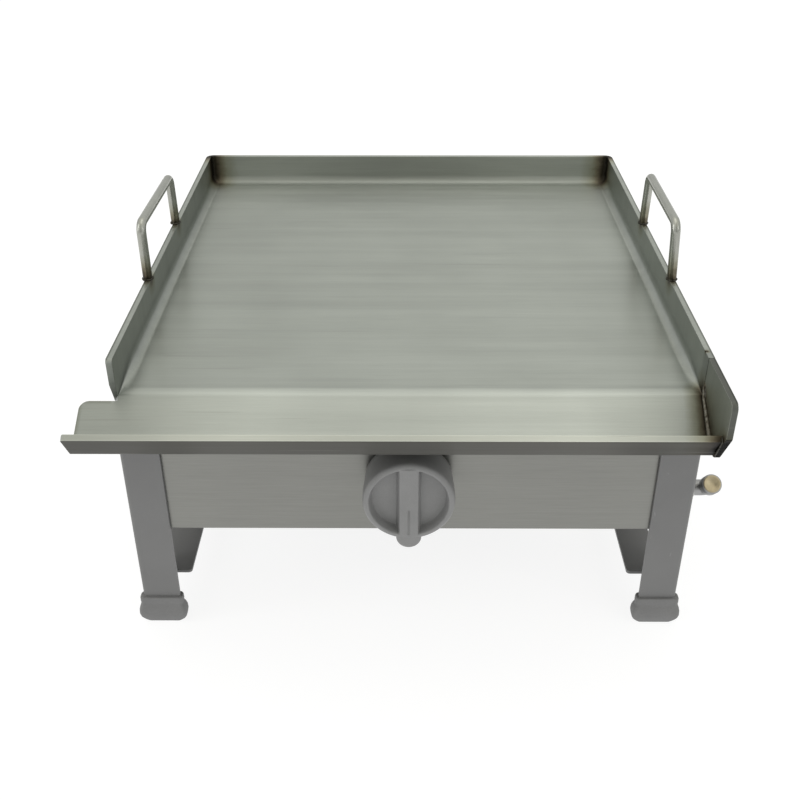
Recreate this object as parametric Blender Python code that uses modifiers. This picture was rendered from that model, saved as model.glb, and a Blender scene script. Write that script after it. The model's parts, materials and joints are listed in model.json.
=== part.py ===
"""Flat top griddle: a folded steel plate that lifts off a gas burner stand.

The griddle is one thick sheet with walls at the left, right and back.  Its front flange slopes down
into a V trough, which is closed by a welded end plate at the right and runs out past the left wall.
The stand carries it on four angle legs, with sheet panels round a tube burner.

All sizes are in metres.  Shapes are drawn from a datum on the cooking surface, in the middle of the
front bend line: +X to the right, +Y to the back, +Z up.  The datum empty then puts the object's
origin on the floor, below the middle of its box.
"""

import math

import bmesh
import bpy
from mathutils import Matrix, Vector

# Griddle plate
WIDTH = 0.4512
DEPTH = 0.461
SHEET = 0.005
WALL_RISE = 0.0300
BEND_RADIUS = 0.008
CORNER_RADIUS = 0.003
LEFT_WALL_RUN_OUT = 0.005
HALF_WIDTH = WIDTH / 2
HALF_FLOOR = HALF_WIDTH - SHEET
FLOOR_DEPTH = DEPTH - SHEET

# Trough at the front edge
FLANGE_RUN = 0.0429
FLANGE_DROP = 0.0228
LIP_RUN = 0.0146
LIP_RISE = 0.0220
TROUGH_RADIUS = 0.003
TAB_OVERHANG = 0.0232
TAB_START = 0.0082
TAB_CORNER_RADIUS = 0.0045
LIP_CORNER_RADIUS = 0.002

# End plate of the trough: corners of its side view as (y, z)
FRONT_END = -0.0665
END_NOSE_Z = 0.0010
END_KEEL = (-0.0470, -0.0285)
END_HEEL = (-0.0065, -0.0085)
END_NOTCH_Z = 0.0040
END_NOTCH_TOP_Z = 0.0105
END_NOSE_RADII = (0.006, 0.004, 0.005)

# Handles on the side walls, each bent by hand a little out of square
HANDLE_ROD_RADIUS = 0.004
HANDLE_HEIGHT = 0.0535
HANDLE_FRONT = 0.136
HANDLE_LENGTH = 0.126
HANDLE_BEND = 0.008
HANDLE_FOOT_RISE = 0.001
HANDLES = {
    "handle_left": {"foot_x": -0.2235, "front_lean": (0.0, 0.0, 0.0), "rear_lean": (0.0, -0.0045, -0.0025)},
    "handle_right": {"foot_x": 0.2227, "front_lean": (-0.002, 0.003, 0.0), "rear_lean": (0.0, -0.004, -0.001)},
}

# Stand
GAP = 0.0003
FLOOR_DROP = 0.2406
STAND_FRONT = 0.008
STAND_DEPTH = 0.440
STAND_HALF_WIDTH = 0.2315
LEG_TOP = -0.0235
LEG_WIDTH = 0.032
LEG_DEPTH = 0.050
LEG_SHEET = 0.003
LEG_BEND = 0.0032
LEG_FOOT_DEPTH = 0.005
LEG_END = 0.004
FOOT_HEIGHT = 0.0275
FOOT_INSET = 0.0157
FOOT_SETBACK = 0.0023
FOOT_CORNER = 0.004
FOOT_LEVELS = ((0.0, 0.0162, 0.0042), (0.0035, 0.0190, 0.0060), (0.0095, 0.0207, 0.0070),
               (0.0150, 0.0203, 0.0066), (0.0185, 0.0190, 0.0054), (0.0205, 0.0186, 0.0051),
               (FOOT_HEIGHT, 0.0186, 0.0050))
PANEL_SHEET = 0.0015
PANEL_BOTTOM = -0.1412
PANEL_FLANGE = 0.020
PANEL_HEM = 0.010
PANEL_BEND = 0.002
MITRE_GAP = 0.0006
STAND_TOP = -SHEET - GAP
STAND_BACK = STAND_FRONT + STAND_DEPTH
PANEL_FACE = STAND_FRONT + LEG_SHEET + GAP
PANEL_REAR = PANEL_FACE + PANEL_SHEET + GAP

# Side rails between the feet
RAIL_TOP = 0.028
RAIL_WIDTH = 0.033
RAIL_SHEET = 0.003
RAIL_SETBACK = 0.0335
RAIL_CORNER = 0.003
RAIL_CLEARANCE = 0.0004
EAR_START = 0.0035
EAR_END = 0.0155
EAR_HEIGHT = 0.021
RAIL_WAIST = 0.0026
WAIST_START = 0.019

# Screws and rivets
HEAD_RADIUS = 0.0040
HEAD_HEIGHT = 0.0022
SHANK_RADIUS = 0.0018
SHANK_HOLE = 0.0021
SCREW_GRIP = 0.0075
RIVET_GRIP = 0.0085
SCREW_SETBACK = 0.030
SCREW_LEVELS = {"upper": -0.036, "lower": -0.085}
RIVET_SETBACK = 0.043
RIVET_RISE = 0.011

# Knob, valve and gas inlet
KNOB_X = -0.0008
KNOB_Z = -0.084
KNOB_RADIUS = 0.0362
KNOB_FRONT = -0.029
KNOB_BACK = 0.0045
KNOB_LUG_RADIUS = 0.010
KNOB_LUG_DROP = 0.0352
KNOB_EDGE = 0.004
KNOB_DRAFT = 0.0015
KNOB_GRIP_HALF = 0.0075
KNOB_RIM = 0.005
KNOB_HOLLOW = 0.009
KNOB_BORE = 0.017
LUG_STEP = 0.0005
LUG_SETBACK = 0.012
STEM_RADIUS = 0.004
STEM_CHAMFER = 0.0008
STEM_OVERLAP = 0.016
STEM_BACK = 0.034
COLLAR_RADIUS = 0.0072
COLLAR_LENGTH = 0.0030
BEZEL_INNER = 0.0098
BEZEL_OUTER = 0.0272
BEZEL_HEIGHT = 0.0010
VALVE_HOLE = 0.0095
VALVE_HALF_WIDTH = 0.017
VALVE_HALF_HEIGHT = 0.016
VALVE_LENGTH = 0.028
VALVE_OUTLET_Y = PANEL_REAR + 0.015
JET_LENGTH = 0.013
PIPE_NUT_X = 0.031
INLET_Y = 0.0376
INLET_Z = -0.1164
INLET_X = 0.2500
INLET_RADIUS = 0.00675
INLET_END_RADIUS = 0.00825
INLET_REACH = 0.0195
INLET_BEND = 0.006
INLET_START = 0.012
HOSE_END_LENGTH = 0.0066
ELBOW_SHORTFALL = 0.007
LOCK_NUT_LENGTH = 0.006
LOCK_NUT_RADIUS = 0.0112
PIPE_RADIUS = 0.004
PIPE_BEND = 0.025

# Burner
BURNER_Z = -0.050
BURNER_RADIUS = 0.012
BURNER_HALF_SPAN = 0.100
BURNER_FRONT = 0.070
BURNER_BACK = 0.390
BURNER_MIDDLE = 0.230
BURNER_NECK = 0.017
PORT_RADIUS = 0.0016
PORTS_PER_TUBE = 15
PORTS_ACROSS = 7
CROSSBAR_YS = (0.110, 0.350)
CROSSBAR_WIDTH = 0.025
CROSSBAR_SHEET = 0.003
MIXER_FRONT = 0.062
MIXER_RADIUS = 0.0100
MIXER_BORE = 0.0075
SHUTTER_FRONT = 0.0715
SHUTTER_RADIUS = 0.0125
SHUTTER_LENGTH = 0.0120
ELECTRODE_X = -0.078
ELECTRODE_HOLE = 0.0043
ELECTRODE_TAIL = 0.011
LEAD_Y = 0.030
LEAD_Z = -0.100

# Angles of the bends and edges that bevels round off
SHARP_BEND = math.radians(40)
ALMOST_FLAT = math.radians(5)
TINY = 0.001
BEND_MARGIN = 0.0005

LEFT_END = -HALF_WIDTH - TAB_OVERHANG
RIGHT_END = INLET_X + INLET_END_RADIUS
ORIGIN_X = (LEFT_END + RIGHT_END) / 2
ORIGIN_Y = (FRONT_END + DEPTH) / 2


# ---------------------------------------------------------------- scene helpers

def clear_scene():
    for obj in list(bpy.data.objects):
        bpy.data.objects.remove(obj, do_unlink=True)
    for group in list(bpy.data.collections):
        bpy.data.collections.remove(group)


def make_collection(name):
    group = bpy.data.collections.new(name)
    bpy.context.scene.collection.children.link(group)
    return group


def make_material(name, colour, roughness, metallic):
    material = bpy.data.materials.new(name)
    material.use_nodes = True
    shader = material.node_tree.nodes["Principled BSDF"]
    shader.inputs["Base Color"].default_value = (*colour, 1.0)
    shader.inputs["Roughness"].default_value = roughness
    shader.inputs["Metallic"].default_value = metallic
    return material


clear_scene()
PARTS = make_collection("flat_top_griddle")
CUTTERS = make_collection("cutters")
DATUM = bpy.data.objects.new("plate_datum", None)
DATUM.location = (-ORIGIN_X, -ORIGIN_Y, FLOOR_DROP)
PARTS.objects.link(DATUM)

STAINLESS = make_material("griddle_steel", (0.52, 0.53, 0.49), 0.38, 1.0)
PANEL_STEEL = make_material("panel_steel", (0.50, 0.51, 0.48), 0.42, 1.0)
LEG_PAINT = make_material("leg_paint", (0.18, 0.18, 0.18), 0.55, 0.0)
FOOT_RUBBER = make_material("foot_rubber", (0.14, 0.14, 0.14), 0.85, 0.0)
KNOB_PLASTIC = make_material("knob_plastic", (0.17, 0.17, 0.17), 0.5, 0.0)
BRASS = make_material("brass", (0.68, 0.58, 0.36), 0.35, 1.0)
CAST_IRON = make_material("cast_iron", (0.07, 0.07, 0.075), 0.75, 0.6)
PLATED_STEEL = make_material("plated_steel", (0.62, 0.62, 0.60), 0.35, 1.0)
CERAMIC = make_material("ceramic", (0.85, 0.84, 0.80), 0.4, 0.0)


def link_part(obj, material, location=(0, 0, 0), rotation=(0, 0, 0)):
    """Put a finished object in the parts collection, under the datum."""
    obj.location = location
    obj.rotation_euler = rotation
    obj.data.materials.clear()
    obj.data.materials.append(material)
    PARTS.objects.link(obj)
    obj.parent = DATUM
    return obj


def link_cutter(obj, location=(0, 0, 0), rotation=(0, 0, 0)):
    obj.location = location
    obj.rotation_euler = rotation
    obj.hide_render = True
    obj.display_type = "WIRE"
    CUTTERS.objects.link(obj)
    obj.parent = DATUM
    return obj


def mesh_object(name, bm, smooth_angle=None):
    bmesh.ops.recalc_face_normals(bm, faces=bm.faces)
    mesh = bpy.data.meshes.new(name)
    bm.to_mesh(mesh)
    bm.free()
    if smooth_angle is not None:
        mesh.shade_smooth()
        mesh.set_sharp_from_angle(angle=math.radians(smooth_angle))
    return bpy.data.objects.new(name, mesh)


def sheet_object(name, bm):
    """An open surface: its faces keep the way they were drawn."""
    mesh = bpy.data.meshes.new(name)
    bm.to_mesh(mesh)
    bm.free()
    return bpy.data.objects.new(name, mesh)


def cuboid(name, low, high):
    """A box between two corners, drawn about its own centre."""
    low = Vector(low)
    high = Vector(high)
    bm = bmesh.new()
    bmesh.ops.create_cube(bm, size=1.0)
    bmesh.ops.scale(bm, verts=bm.verts, vec=high - low)
    obj = mesh_object(name, bm)
    obj.location = (low + high) / 2
    return obj


def cylinder(name, radius, length, sides=32):
    """A round bar along its own Z, centred."""
    bm = bmesh.new()
    bmesh.ops.create_cone(bm, cap_ends=True, segments=sides, radius1=radius, radius2=radius, depth=length)
    return mesh_object(name, bm, 40)


def turned(name, profile, steps=32):
    """A solid turned about its own Z from (radius, height) points that run from top to bottom."""
    bm = bmesh.new()
    points = [bm.verts.new((radius, 0.0, height)) for radius, height in profile]
    for start, end in zip(points, points[1:]):
        bm.edges.new((start, end))
    obj = sheet_object(name, bm)
    screw = obj.modifiers.new("turn", "SCREW")
    screw.axis = "Z"
    screw.steps = steps
    screw.render_steps = steps
    screw.use_merge_vertices = True
    screw.merge_threshold = 0.00001
    screw.use_smooth_shade = False
    return obj


def outline(name, points, thickness):
    """A flat plate in its own XY plane, half its thickness each side."""
    curve = bpy.data.curves.new(name, "CURVE")
    curve.dimensions = "2D"
    curve.fill_mode = "BOTH"
    curve.extrude = thickness / 2
    spline = curve.splines.new("POLY")
    spline.points.add(len(points) - 1)
    for point, (x, y) in zip(spline.points, points):
        point.co = (x, y, 0.0, 1.0)
    spline.use_cyclic_u = True
    return bpy.data.objects.new(name, curve)


def tube(name, points, radius, resolution=3):
    """A round bar along a run of points."""
    curve = bpy.data.curves.new(name, "CURVE")
    curve.dimensions = "3D"
    curve.bevel_depth = radius
    curve.bevel_resolution = resolution
    curve.use_fill_caps = True
    spline = curve.splines.new("POLY")
    spline.points.add(len(points) - 1)
    for point, co in zip(spline.points, points):
        point.co = (*co, 1.0)
    return bpy.data.objects.new(name, curve)


def solid_from_curve(curve_object):
    """The same shape as a closed mesh, so that it can be cut or joined."""
    CUTTERS.objects.link(curve_object)
    bpy.context.view_layer.update()
    evaluated = curve_object.evaluated_get(bpy.context.evaluated_depsgraph_get())
    mesh = bpy.data.meshes.new_from_object(evaluated)
    bm = bmesh.new()
    bm.from_mesh(mesh)
    bmesh.ops.remove_doubles(bm, verts=bm.verts, dist=0.00001)
    bmesh.ops.recalc_face_normals(bm, faces=bm.faces)
    bm.to_mesh(mesh)
    bm.free()
    name = curve_object.name
    bpy.data.objects.remove(curve_object, do_unlink=True)
    return bpy.data.objects.new(name, mesh)


def grown_points(bm, edges, shift):
    """Extrude edges by a shift and return the new points."""
    grown = bmesh.ops.extrude_edge_only(bm, edges=edges)["geom"]
    points = [item for item in grown if isinstance(item, bmesh.types.BMVert)]
    bmesh.ops.translate(bm, verts=points, vec=shift)
    return points


def rounded(obj, width, segments=2, angle=40):
    bevel = obj.modifiers.new("rounded_edges", "BEVEL")
    bevel.width = width
    bevel.segments = segments
    bevel.limit_method = "ANGLE"
    bevel.angle_limit = math.radians(angle)
    bevel.use_clamp_overlap = True
    return obj


def thickened(obj, thickness, offset):
    solid = obj.modifiers.new("sheet", "SOLIDIFY")
    solid.thickness = thickness
    solid.offset = offset
    solid.use_even_offset = True
    return obj


def boolean(obj, tool, operation):
    step = obj.modifiers.new(f"{operation.lower()}_{tool.name}", "BOOLEAN")
    step.operation = operation
    step.object = tool
    step.solver = "EXACT"
    return obj


def drill(obj, name, centre, axis, radius, length, sides=16):
    """Cut a round hole of the given length, centred on a point in the datum's frame."""
    tool = cylinder(name, radius, length, sides)
    turn = Vector(axis).to_track_quat("Z", "Y").to_euler()
    link_cutter(tool, centre, turn)
    return boolean(obj, tool, "DIFFERENCE")


def arc(centre, radius, start, end, steps):
    """Points round an arc, angles in degrees."""
    points = []
    for i in range(steps + 1):
        angle = math.radians(start + (end - start) * i / steps)
        points.append((centre[0] + radius * math.cos(angle), centre[1] + radius * math.sin(angle)))
    return points


def fillet(before, corner, after, radius, steps):
    """The points that round off a corner, in the plane or in space."""
    before, corner, after = Vector(before), Vector(corner), Vector(after)
    back = (before - corner).normalized()
    ahead = (after - corner).normalized()
    half_angle = back.angle(ahead) / 2
    centre = corner + (back + ahead).normalized() * radius / math.sin(half_angle)
    start = corner + back * radius / math.tan(half_angle) - centre
    end = corner + ahead * radius / math.tan(half_angle) - centre
    swing = math.pi - 2 * half_angle
    points = []
    for i in range(steps + 1):
        done = swing * i / steps
        spoke = (start * math.sin(swing - done) + end * math.sin(done)) / math.sin(swing)
        points.append(tuple(centre + spoke))
    return points


# ---------------------------------------------------------------- griddle

def bend_weight(radius, turn):
    """A bend's bevel weight: its tangent length as a share of the wall bends' 90 degree one."""
    return radius * math.tan(turn / 2) / BEND_RADIUS


def plate_sheet():
    """The whole griddle plate, drawn on its inside face with sharp bends."""
    bm = bmesh.new()
    bmesh.ops.create_grid(bm, x_segments=1, y_segments=1, size=0.5)
    bmesh.ops.scale(bm, verts=bm.verts, vec=(2 * HALF_FLOOR, FLOOR_DEPTH, 1.0))
    bmesh.ops.translate(bm, verts=bm.verts, vec=(0.0, FLOOR_DEPTH / 2, 0.0))
    front = [edge for edge in bm.edges if max(v.co.y for v in edge.verts) < TINY]
    walls = [edge for edge in bm.edges if edge not in front]
    bend_top = BEND_RADIUS + BEND_MARGIN
    low = grown_points(bm, walls, (0.0, 0.0, bend_top))
    rims = [edge for edge in bm.edges if all(v in low for v in edge.verts)]
    high = grown_points(bm, rims, (0.0, 0.0, WALL_RISE - bend_top))
    for vert in low + high:
        if vert.co.x < 0 and vert.co.y < TINY:
            vert.co.y -= LEFT_WALL_RUN_OUT

    slope = math.hypot(FLANGE_RUN, FLANGE_DROP)
    down = Vector((0.0, -FLANGE_RUN, -FLANGE_DROP)) / slope
    lip = Vector((0.0, -LIP_RUN, LIP_RISE))
    shelf = grown_points(bm, front, down * TAB_START)
    trough = grown_points(bm, [bm.edges.get(shelf)], down * (slope - TAB_START))
    edge_top = grown_points(bm, [bm.edges.get(trough)], lip)
    left = [min(line, key=lambda v: v.co.x) for line in (shelf, trough, edge_top)]
    sides = [bm.edges.get(pair) for pair in zip(left, left[1:])]
    tab = sorted(grown_points(bm, sides, (-TAB_OVERHANG - SHEET, 0.0, 0.0)), key=lambda v: -v.co.y)
    bmesh.ops.bevel(bm, geom=[tab[0]], offset=TAB_CORNER_RADIUS, segments=4, profile=0.5, affect="VERTICES")
    bmesh.ops.bevel(bm, geom=[tab[-1]], offset=LIP_CORNER_RADIUS, segments=2, profile=0.5, affect="VERTICES")

    weight = bm.edges.layers.float.new("bevel_weight_edge")
    flange_turn = math.atan2(FLANGE_DROP, FLANGE_RUN)
    trough_turn = flange_turn + math.atan2(LIP_RISE, LIP_RUN)
    for edge in bm.edges:
        if len(edge.link_faces) != 2:
            continue
        middle = (edge.verts[0].co + edge.verts[1].co) / 2
        turn = edge.calc_face_angle()
        if turn < ALMOST_FLAT:
            continue
        if middle.y < -FLANGE_RUN / 2:
            edge[weight] = bend_weight(TROUGH_RADIUS, trough_turn)
        elif middle.y < TINY:
            edge[weight] = bend_weight(BEND_RADIUS + SHEET, flange_turn)
        elif middle.z > TINY:
            edge[weight] = bend_weight(CORNER_RADIUS, math.pi / 2)
        else:
            edge[weight] = 1.0
    bmesh.ops.recalc_face_normals(bm, faces=bm.faces)
    if sum(face.normal.z * face.calc_area() for face in bm.faces) < 0:
        bmesh.ops.reverse_faces(bm, faces=bm.faces)
    return sheet_object("griddle_plate", bm)


def build_griddle():
    plate = link_part(plate_sheet(), STAINLESS)
    bend = plate.modifiers.new("bends", "BEVEL")
    bend.limit_method = "WEIGHT"
    bend.width = BEND_RADIUS
    bend.segments = 5
    bend.use_clamp_overlap = False
    thickened(plate, SHEET, -1.0)


def build_end_plate():
    """Welded plate that carries the right wall forward and closes the trough."""
    corners = [(-GAP, WALL_RISE), (FRONT_END, WALL_RISE), (FRONT_END, END_NOSE_Z), END_KEEL,
               END_HEEL, (END_HEEL[0], END_NOTCH_Z), (-GAP, END_NOTCH_TOP_Z)]
    radii = [0.0, *END_NOSE_RADII, 0.0, 0.0, 0.0]
    points = []
    for i, (corner, radius) in enumerate(zip(corners, radii)):
        if radius:
            points += fillet(corners[i - 1], corner, corners[(i + 1) % len(corners)], radius, 3)
        else:
            points.append(corner)
    plate = solid_from_curve(outline("trough_end_plate", points, SHEET - GAP))
    plate.data.transform(Matrix(((0, 0, 1, 0), (1, 0, 0, 0), (0, 1, 0, 0), (0, 0, 0, 1))))
    link_part(plate, STAINLESS, (HALF_WIDTH - (SHEET - GAP) / 2, 0, 0))
    rounded(plate, 0.0006, 1)


def build_handles():
    rise = HANDLE_HEIGHT - HANDLE_ROD_RADIUS - GAP
    for name, shape in HANDLES.items():
        front_foot = Vector((0.0, HANDLE_FRONT, WALL_RISE + GAP))
        rear_foot = front_foot + Vector((0.0, HANDLE_LENGTH, 0.0))
        up = Vector((0.0, 0.0, HANDLE_FOOT_RISE))
        front_top = front_foot + Vector((0.0, 0.0, rise)) + Vector(shape["front_lean"])
        rear_top = rear_foot + Vector((0.0, 0.0, rise)) + Vector(shape["rear_lean"])
        path = [front_foot, front_foot + up]
        path += fillet(front_foot + up, front_top, rear_top, HANDLE_BEND, 5)
        path += fillet(front_top, rear_top, rear_foot + up, HANDLE_BEND, 5)
        path += [rear_foot + up, rear_foot]
        link_part(tube(name, path, HANDLE_ROD_RADIUS), STAINLESS, (shape["foot_x"], 0, 0))


# ---------------------------------------------------------------- stand

def angle_leg(name, x_side, y_side):
    """A bent sheet leg: a front flange and a deeper side flange that narrows into the foot."""
    bottom = -FLOOR_DROP + LEG_END
    shoulder = -FLOOR_DROP + FOOT_HEIGHT + GAP
    bm = bmesh.new()
    spine = [bm.verts.new((0.0, 0.0, z)) for z in (LEG_TOP, shoulder, bottom)]
    for a, b in zip(spine, spine[1:]):
        bm.edges.new((a, b))
    spine_edges = list(bm.edges)
    grown_points(bm, spine_edges, (-x_side * LEG_WIDTH, 0.0, 0.0))
    near = grown_points(bm, spine_edges, (0.0, -y_side * LEG_FOOT_DEPTH, 0.0))
    shoulder_line = sorted(near, key=lambda v: v.co.z)[1:]
    grown_points(bm, [bm.edges.get(shoulder_line)], (0.0, -y_side * (LEG_DEPTH - LEG_FOOT_DEPTH), 0.0))
    bmesh.ops.recalc_face_normals(bm, faces=bm.faces)
    obj = sheet_object(name, bm)
    x = x_side * STAND_HALF_WIDTH
    y = STAND_BACK if y_side > 0 else STAND_FRONT
    facing = sum(p.normal.x * p.area for p in obj.data.polygons) * x_side
    bend = obj.modifiers.new("bend", "BEVEL")
    bend.width = LEG_BEND
    bend.segments = 3
    bend.limit_method = "ANGLE"
    bend.angle_limit = SHARP_BEND
    thickened(obj, LEG_SHEET, -1.0 if facing > 0 else 1.0)
    return link_part(obj, LEG_PAINT, (x, y, 0.0))


def rubber_foot(name, x_side, y_side):
    """A flat barrel-shaped rubber boot with an L-shaped slot for the leg's end."""
    x = x_side * (STAND_HALF_WIDTH - FOOT_INSET)
    y_edge = STAND_BACK if y_side > 0 else STAND_FRONT
    y = y_edge - y_side * FOOT_SETBACK
    bm = bmesh.new()
    rings = []
    for height, half_x, half_y in FOOT_LEVELS:
        ring = []
        for start, (sx, sy) in ((0, (1, 1)), (90, (-1, 1)), (180, (-1, -1)), (270, (1, -1))):
            centre = (sx * (half_x - FOOT_CORNER), sy * (half_y - FOOT_CORNER))
            corner = arc(centre, FOOT_CORNER, start, start + 90, 3)
            ring += [bm.verts.new((px, py, height)) for px, py in corner]
        rings.append(ring)
    for lower, upper in zip(rings, rings[1:]):
        for i in range(len(lower)):
            j = (i + 1) % len(lower)
            bm.faces.new((lower[i], lower[j], upper[j], upper[i]))
    bm.faces.new(list(reversed(rings[0])))
    bm.faces.new(rings[-1])
    foot = link_part(mesh_object(name, bm, 50), FOOT_RUBBER, (x, y, -FLOOR_DROP))
    floor = -FLOOR_DROP + LEG_END - GAP
    outer_x = x_side * (STAND_HALF_WIDTH + GAP)
    inner_x = x_side * (STAND_HALF_WIDTH - LEG_WIDTH - GAP)
    web_x = x_side * (STAND_HALF_WIDTH - LEG_SHEET - GAP)
    outer_y = y_edge + y_side * GAP
    web_y = y_edge - y_side * (LEG_SHEET + GAP)
    inner_y = y_edge - y_side * (LEG_FOOT_DEPTH + GAP)
    for label, (xa, xb), (ya, yb) in (("front", (outer_x, inner_x), (outer_y, web_y)),
                                      ("side", (outer_x, web_x), (outer_y, inner_y))):
        low = (min(xa, xb), min(ya, yb), floor)
        high = (max(xa, xb), max(ya, yb), 0.0)
        slot = cuboid(f"{name}_{label}_slot", low, high)
        boolean(foot, link_cutter(slot, slot.location), "DIFFERENCE")


def folded_panel(name, half_length, middle, turn):
    """A sheet with a top flange and a bottom hem, both turned inwards and mitred at their ends.

    It is drawn facing the front, with its outer face at y = 0, and turned to its own side.
    """
    bm = bmesh.new()
    top = [bm.verts.new((x, 0.0, STAND_TOP)) for x in (-half_length, half_length)]
    bm.edges.new(top)
    low = grown_points(bm, list(bm.edges), (0.0, 0.0, PANEL_BOTTOM - STAND_TOP))
    for line, width in ((top, PANEL_FLANGE), (low, PANEL_HEM)):
        free = grown_points(bm, [bm.edges.get(line)], (0.0, width, 0.0))
        for vert in free:
            vert.co.x -= math.copysign(width + MITRE_GAP, vert.co.x)
    obj = sheet_object(name, bm)
    bend = obj.modifiers.new("bends", "BEVEL")
    bend.width = PANEL_BEND
    bend.segments = 3
    bend.limit_method = "ANGLE"
    bend.angle_limit = SHARP_BEND
    facing = sum(face.normal.y * face.area for face in obj.data.polygons)
    thickened(obj, PANEL_SHEET, -1.0 if facing < 0 else 1.0)
    return link_part(obj, PANEL_STEEL, middle, (0.0, 0.0, turn))


def build_panels():
    """Front and back panels between the legs' side flanges, and side panels between those."""
    inner_x = STAND_HALF_WIDTH - LEG_SHEET - GAP
    across = inner_x - GAP
    along = STAND_DEPTH / 2 - LEG_SHEET - PANEL_SHEET - 2 * GAP
    middle_y = STAND_FRONT + STAND_DEPTH / 2
    back_y = STAND_BACK - LEG_SHEET - GAP
    front = folded_panel("front_panel", across, (0.0, PANEL_FACE, 0.0), 0.0)
    folded_panel("back_panel", across, (0.0, back_y, 0.0), math.pi)
    drill(front, "valve_hole", (KNOB_X, PANEL_FACE, KNOB_Z), (0, 1, 0), VALVE_HOLE, 0.010, 24)
    right = folded_panel("side_panel_right", along, (inner_x, middle_y, 0.0), math.pi / 2)
    left = folded_panel("side_panel_left", along, (-inner_x, middle_y, 0.0), -math.pi / 2)
    return {-1: left, 1: right}


def side_rail(name, x_side):
    """A flat bar between the legs, narrowed along its outer edge, with an upturned ear at each end."""
    outer = STAND_HALF_WIDTH - LEG_SHEET - RAIL_CLEARANCE
    start = STAND_FRONT + RAIL_SETBACK
    end = STAND_BACK - RAIL_SETBACK
    z = -FLOOR_DROP + RAIL_TOP - RAIL_SHEET / 2
    inner = outer - RAIL_WIDTH
    low_x, high_x = inner + RAIL_CORNER, outer - RAIL_CORNER
    low_y, high_y = start + RAIL_CORNER, end - RAIL_CORNER
    corners = ((low_x, low_y, 180), (high_x, low_y, 270), (high_x, high_y, 0), (low_x, high_y, 90))
    points = []
    for x, y, first in corners:
        points += arc((x, y), RAIL_CORNER, first, first + 90, 3)
    bar = solid_from_curve(outline(name, [(x_side * x, y) for x, y in points], RAIL_SHEET))
    link_part(bar, LEG_PAINT, (0.0, 0.0, z))
    ear_x = sorted((x_side * (outer - RAIL_SHEET), x_side * outer))
    ear_ys = {"front": (start + EAR_START, start + EAR_END), "rear": (end - EAR_END, end - EAR_START)}
    for label, ear_y in ear_ys.items():
        ear = cuboid(f"{name}_{label}_ear", (ear_x[0], ear_y[0], z), (ear_x[1], ear_y[1], z + EAR_HEIGHT))
        boolean(bar, link_cutter(ear, ear.location), "UNION")
    waist_x = sorted((x_side * (outer - RAIL_WAIST), x_side * (outer + RAIL_SHEET)))
    waist = cuboid(f"{name}_waist", (waist_x[0], start + WAIST_START, z - RAIL_SHEET),
                   (waist_x[1], end - WAIST_START, z + RAIL_SHEET))
    boolean(bar, link_cutter(waist, waist.location), "DIFFERENCE")
    return bar


def round_head(name, grip):
    """A domed fastener whose head sits on its own z = 0 and whose shank points down."""
    dome = [(HEAD_RADIUS * x, HEAD_HEIGHT * z) for x, z in arc((0.0, 0.0), 1.0, 90, 0, 4)]
    return turned(name, dome + [(SHANK_RADIUS, 0.0), (SHANK_RADIUS, -grip), (0.0, -grip)], 12)


def fasten(name, grip, x_side, y, z, outer, inner):
    """A fastener from the side of the stand, with its holes in the two pieces that it joins."""
    point = (x_side * STAND_HALF_WIDTH, y, z)
    for label, piece in (("outer", outer), ("inner", inner)):
        drill(piece, f"{name}_{label}_hole", point, (1, 0, 0), SHANK_HOLE, 0.020, 12)
    face = (x_side * (STAND_HALF_WIDTH + GAP), y, z)
    link_part(round_head(name, grip), PLATED_STEEL, face, (0.0, x_side * math.pi / 2, 0.0))


def build_fasteners(legs, panels, rails):
    """Screws through the legs' side flanges into the side panels, and rivets into the side rails."""
    for (x_side, y_side), leg in legs.items():
        where = f"{'rear' if y_side > 0 else 'front'}_{'right' if x_side > 0 else 'left'}"
        y_edge = STAND_BACK if y_side > 0 else STAND_FRONT
        for label, z in SCREW_LEVELS.items():
            fasten(f"panel_screw_{where}_{label}", SCREW_GRIP, x_side, y_edge - y_side * SCREW_SETBACK, z,
                   leg, panels[x_side])
        fasten(f"rail_rivet_{where}", RIVET_GRIP, x_side, y_edge - y_side * RIVET_SETBACK,
               -FLOOR_DROP + RAIL_TOP + RIVET_RISE, leg, rails[x_side])


def build_stand():
    legs = {}
    for x_side, x_word in ((-1, "left"), (1, "right")):
        for y_side, y_word in ((-1, "front"), (1, "rear")):
            legs[x_side, y_side] = angle_leg(f"leg_{y_word}_{x_word}", x_side, y_side)
            rubber_foot(f"foot_{y_word}_{x_word}", x_side, y_side)
    panels = build_panels()
    rails = {-1: side_rail("side_rail_left", -1), 1: side_rail("side_rail_right", 1)}
    build_fasteners(legs, panels, rails)
    inlet = (STAND_HALF_WIDTH, INLET_Y, INLET_Z)
    drill(legs[1, -1], "inlet_leg_hole", inlet, (1, 0, 0), INLET_RADIUS + GAP, 0.030, 24)
    drill(panels[1], "inlet_panel_hole", inlet, (1, 0, 0), INLET_RADIUS + GAP, 0.030, 24)


# ---------------------------------------------------------------- burner and gas parts

def along_y(obj, material, y, x=KNOB_X):
    """Place a turned piece at the knob's height, so that its own +Z points to the front."""
    return link_part(obj, material, (x, y, KNOB_Z), (math.pi / 2, 0, 0))


def hex_nut(name, material, middle, radius, rod_radius, length):
    """A hexagon nut on a rod that runs along X."""
    nut = link_part(cylinder(name, radius, length, 6), material, middle, (0, math.pi / 2, 0))
    rounded(nut, 0.0004, 1, 50)
    return drill(nut, f"{name}_bore", middle, (1, 0, 0), rod_radius + GAP, 2 * length, 24)


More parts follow.
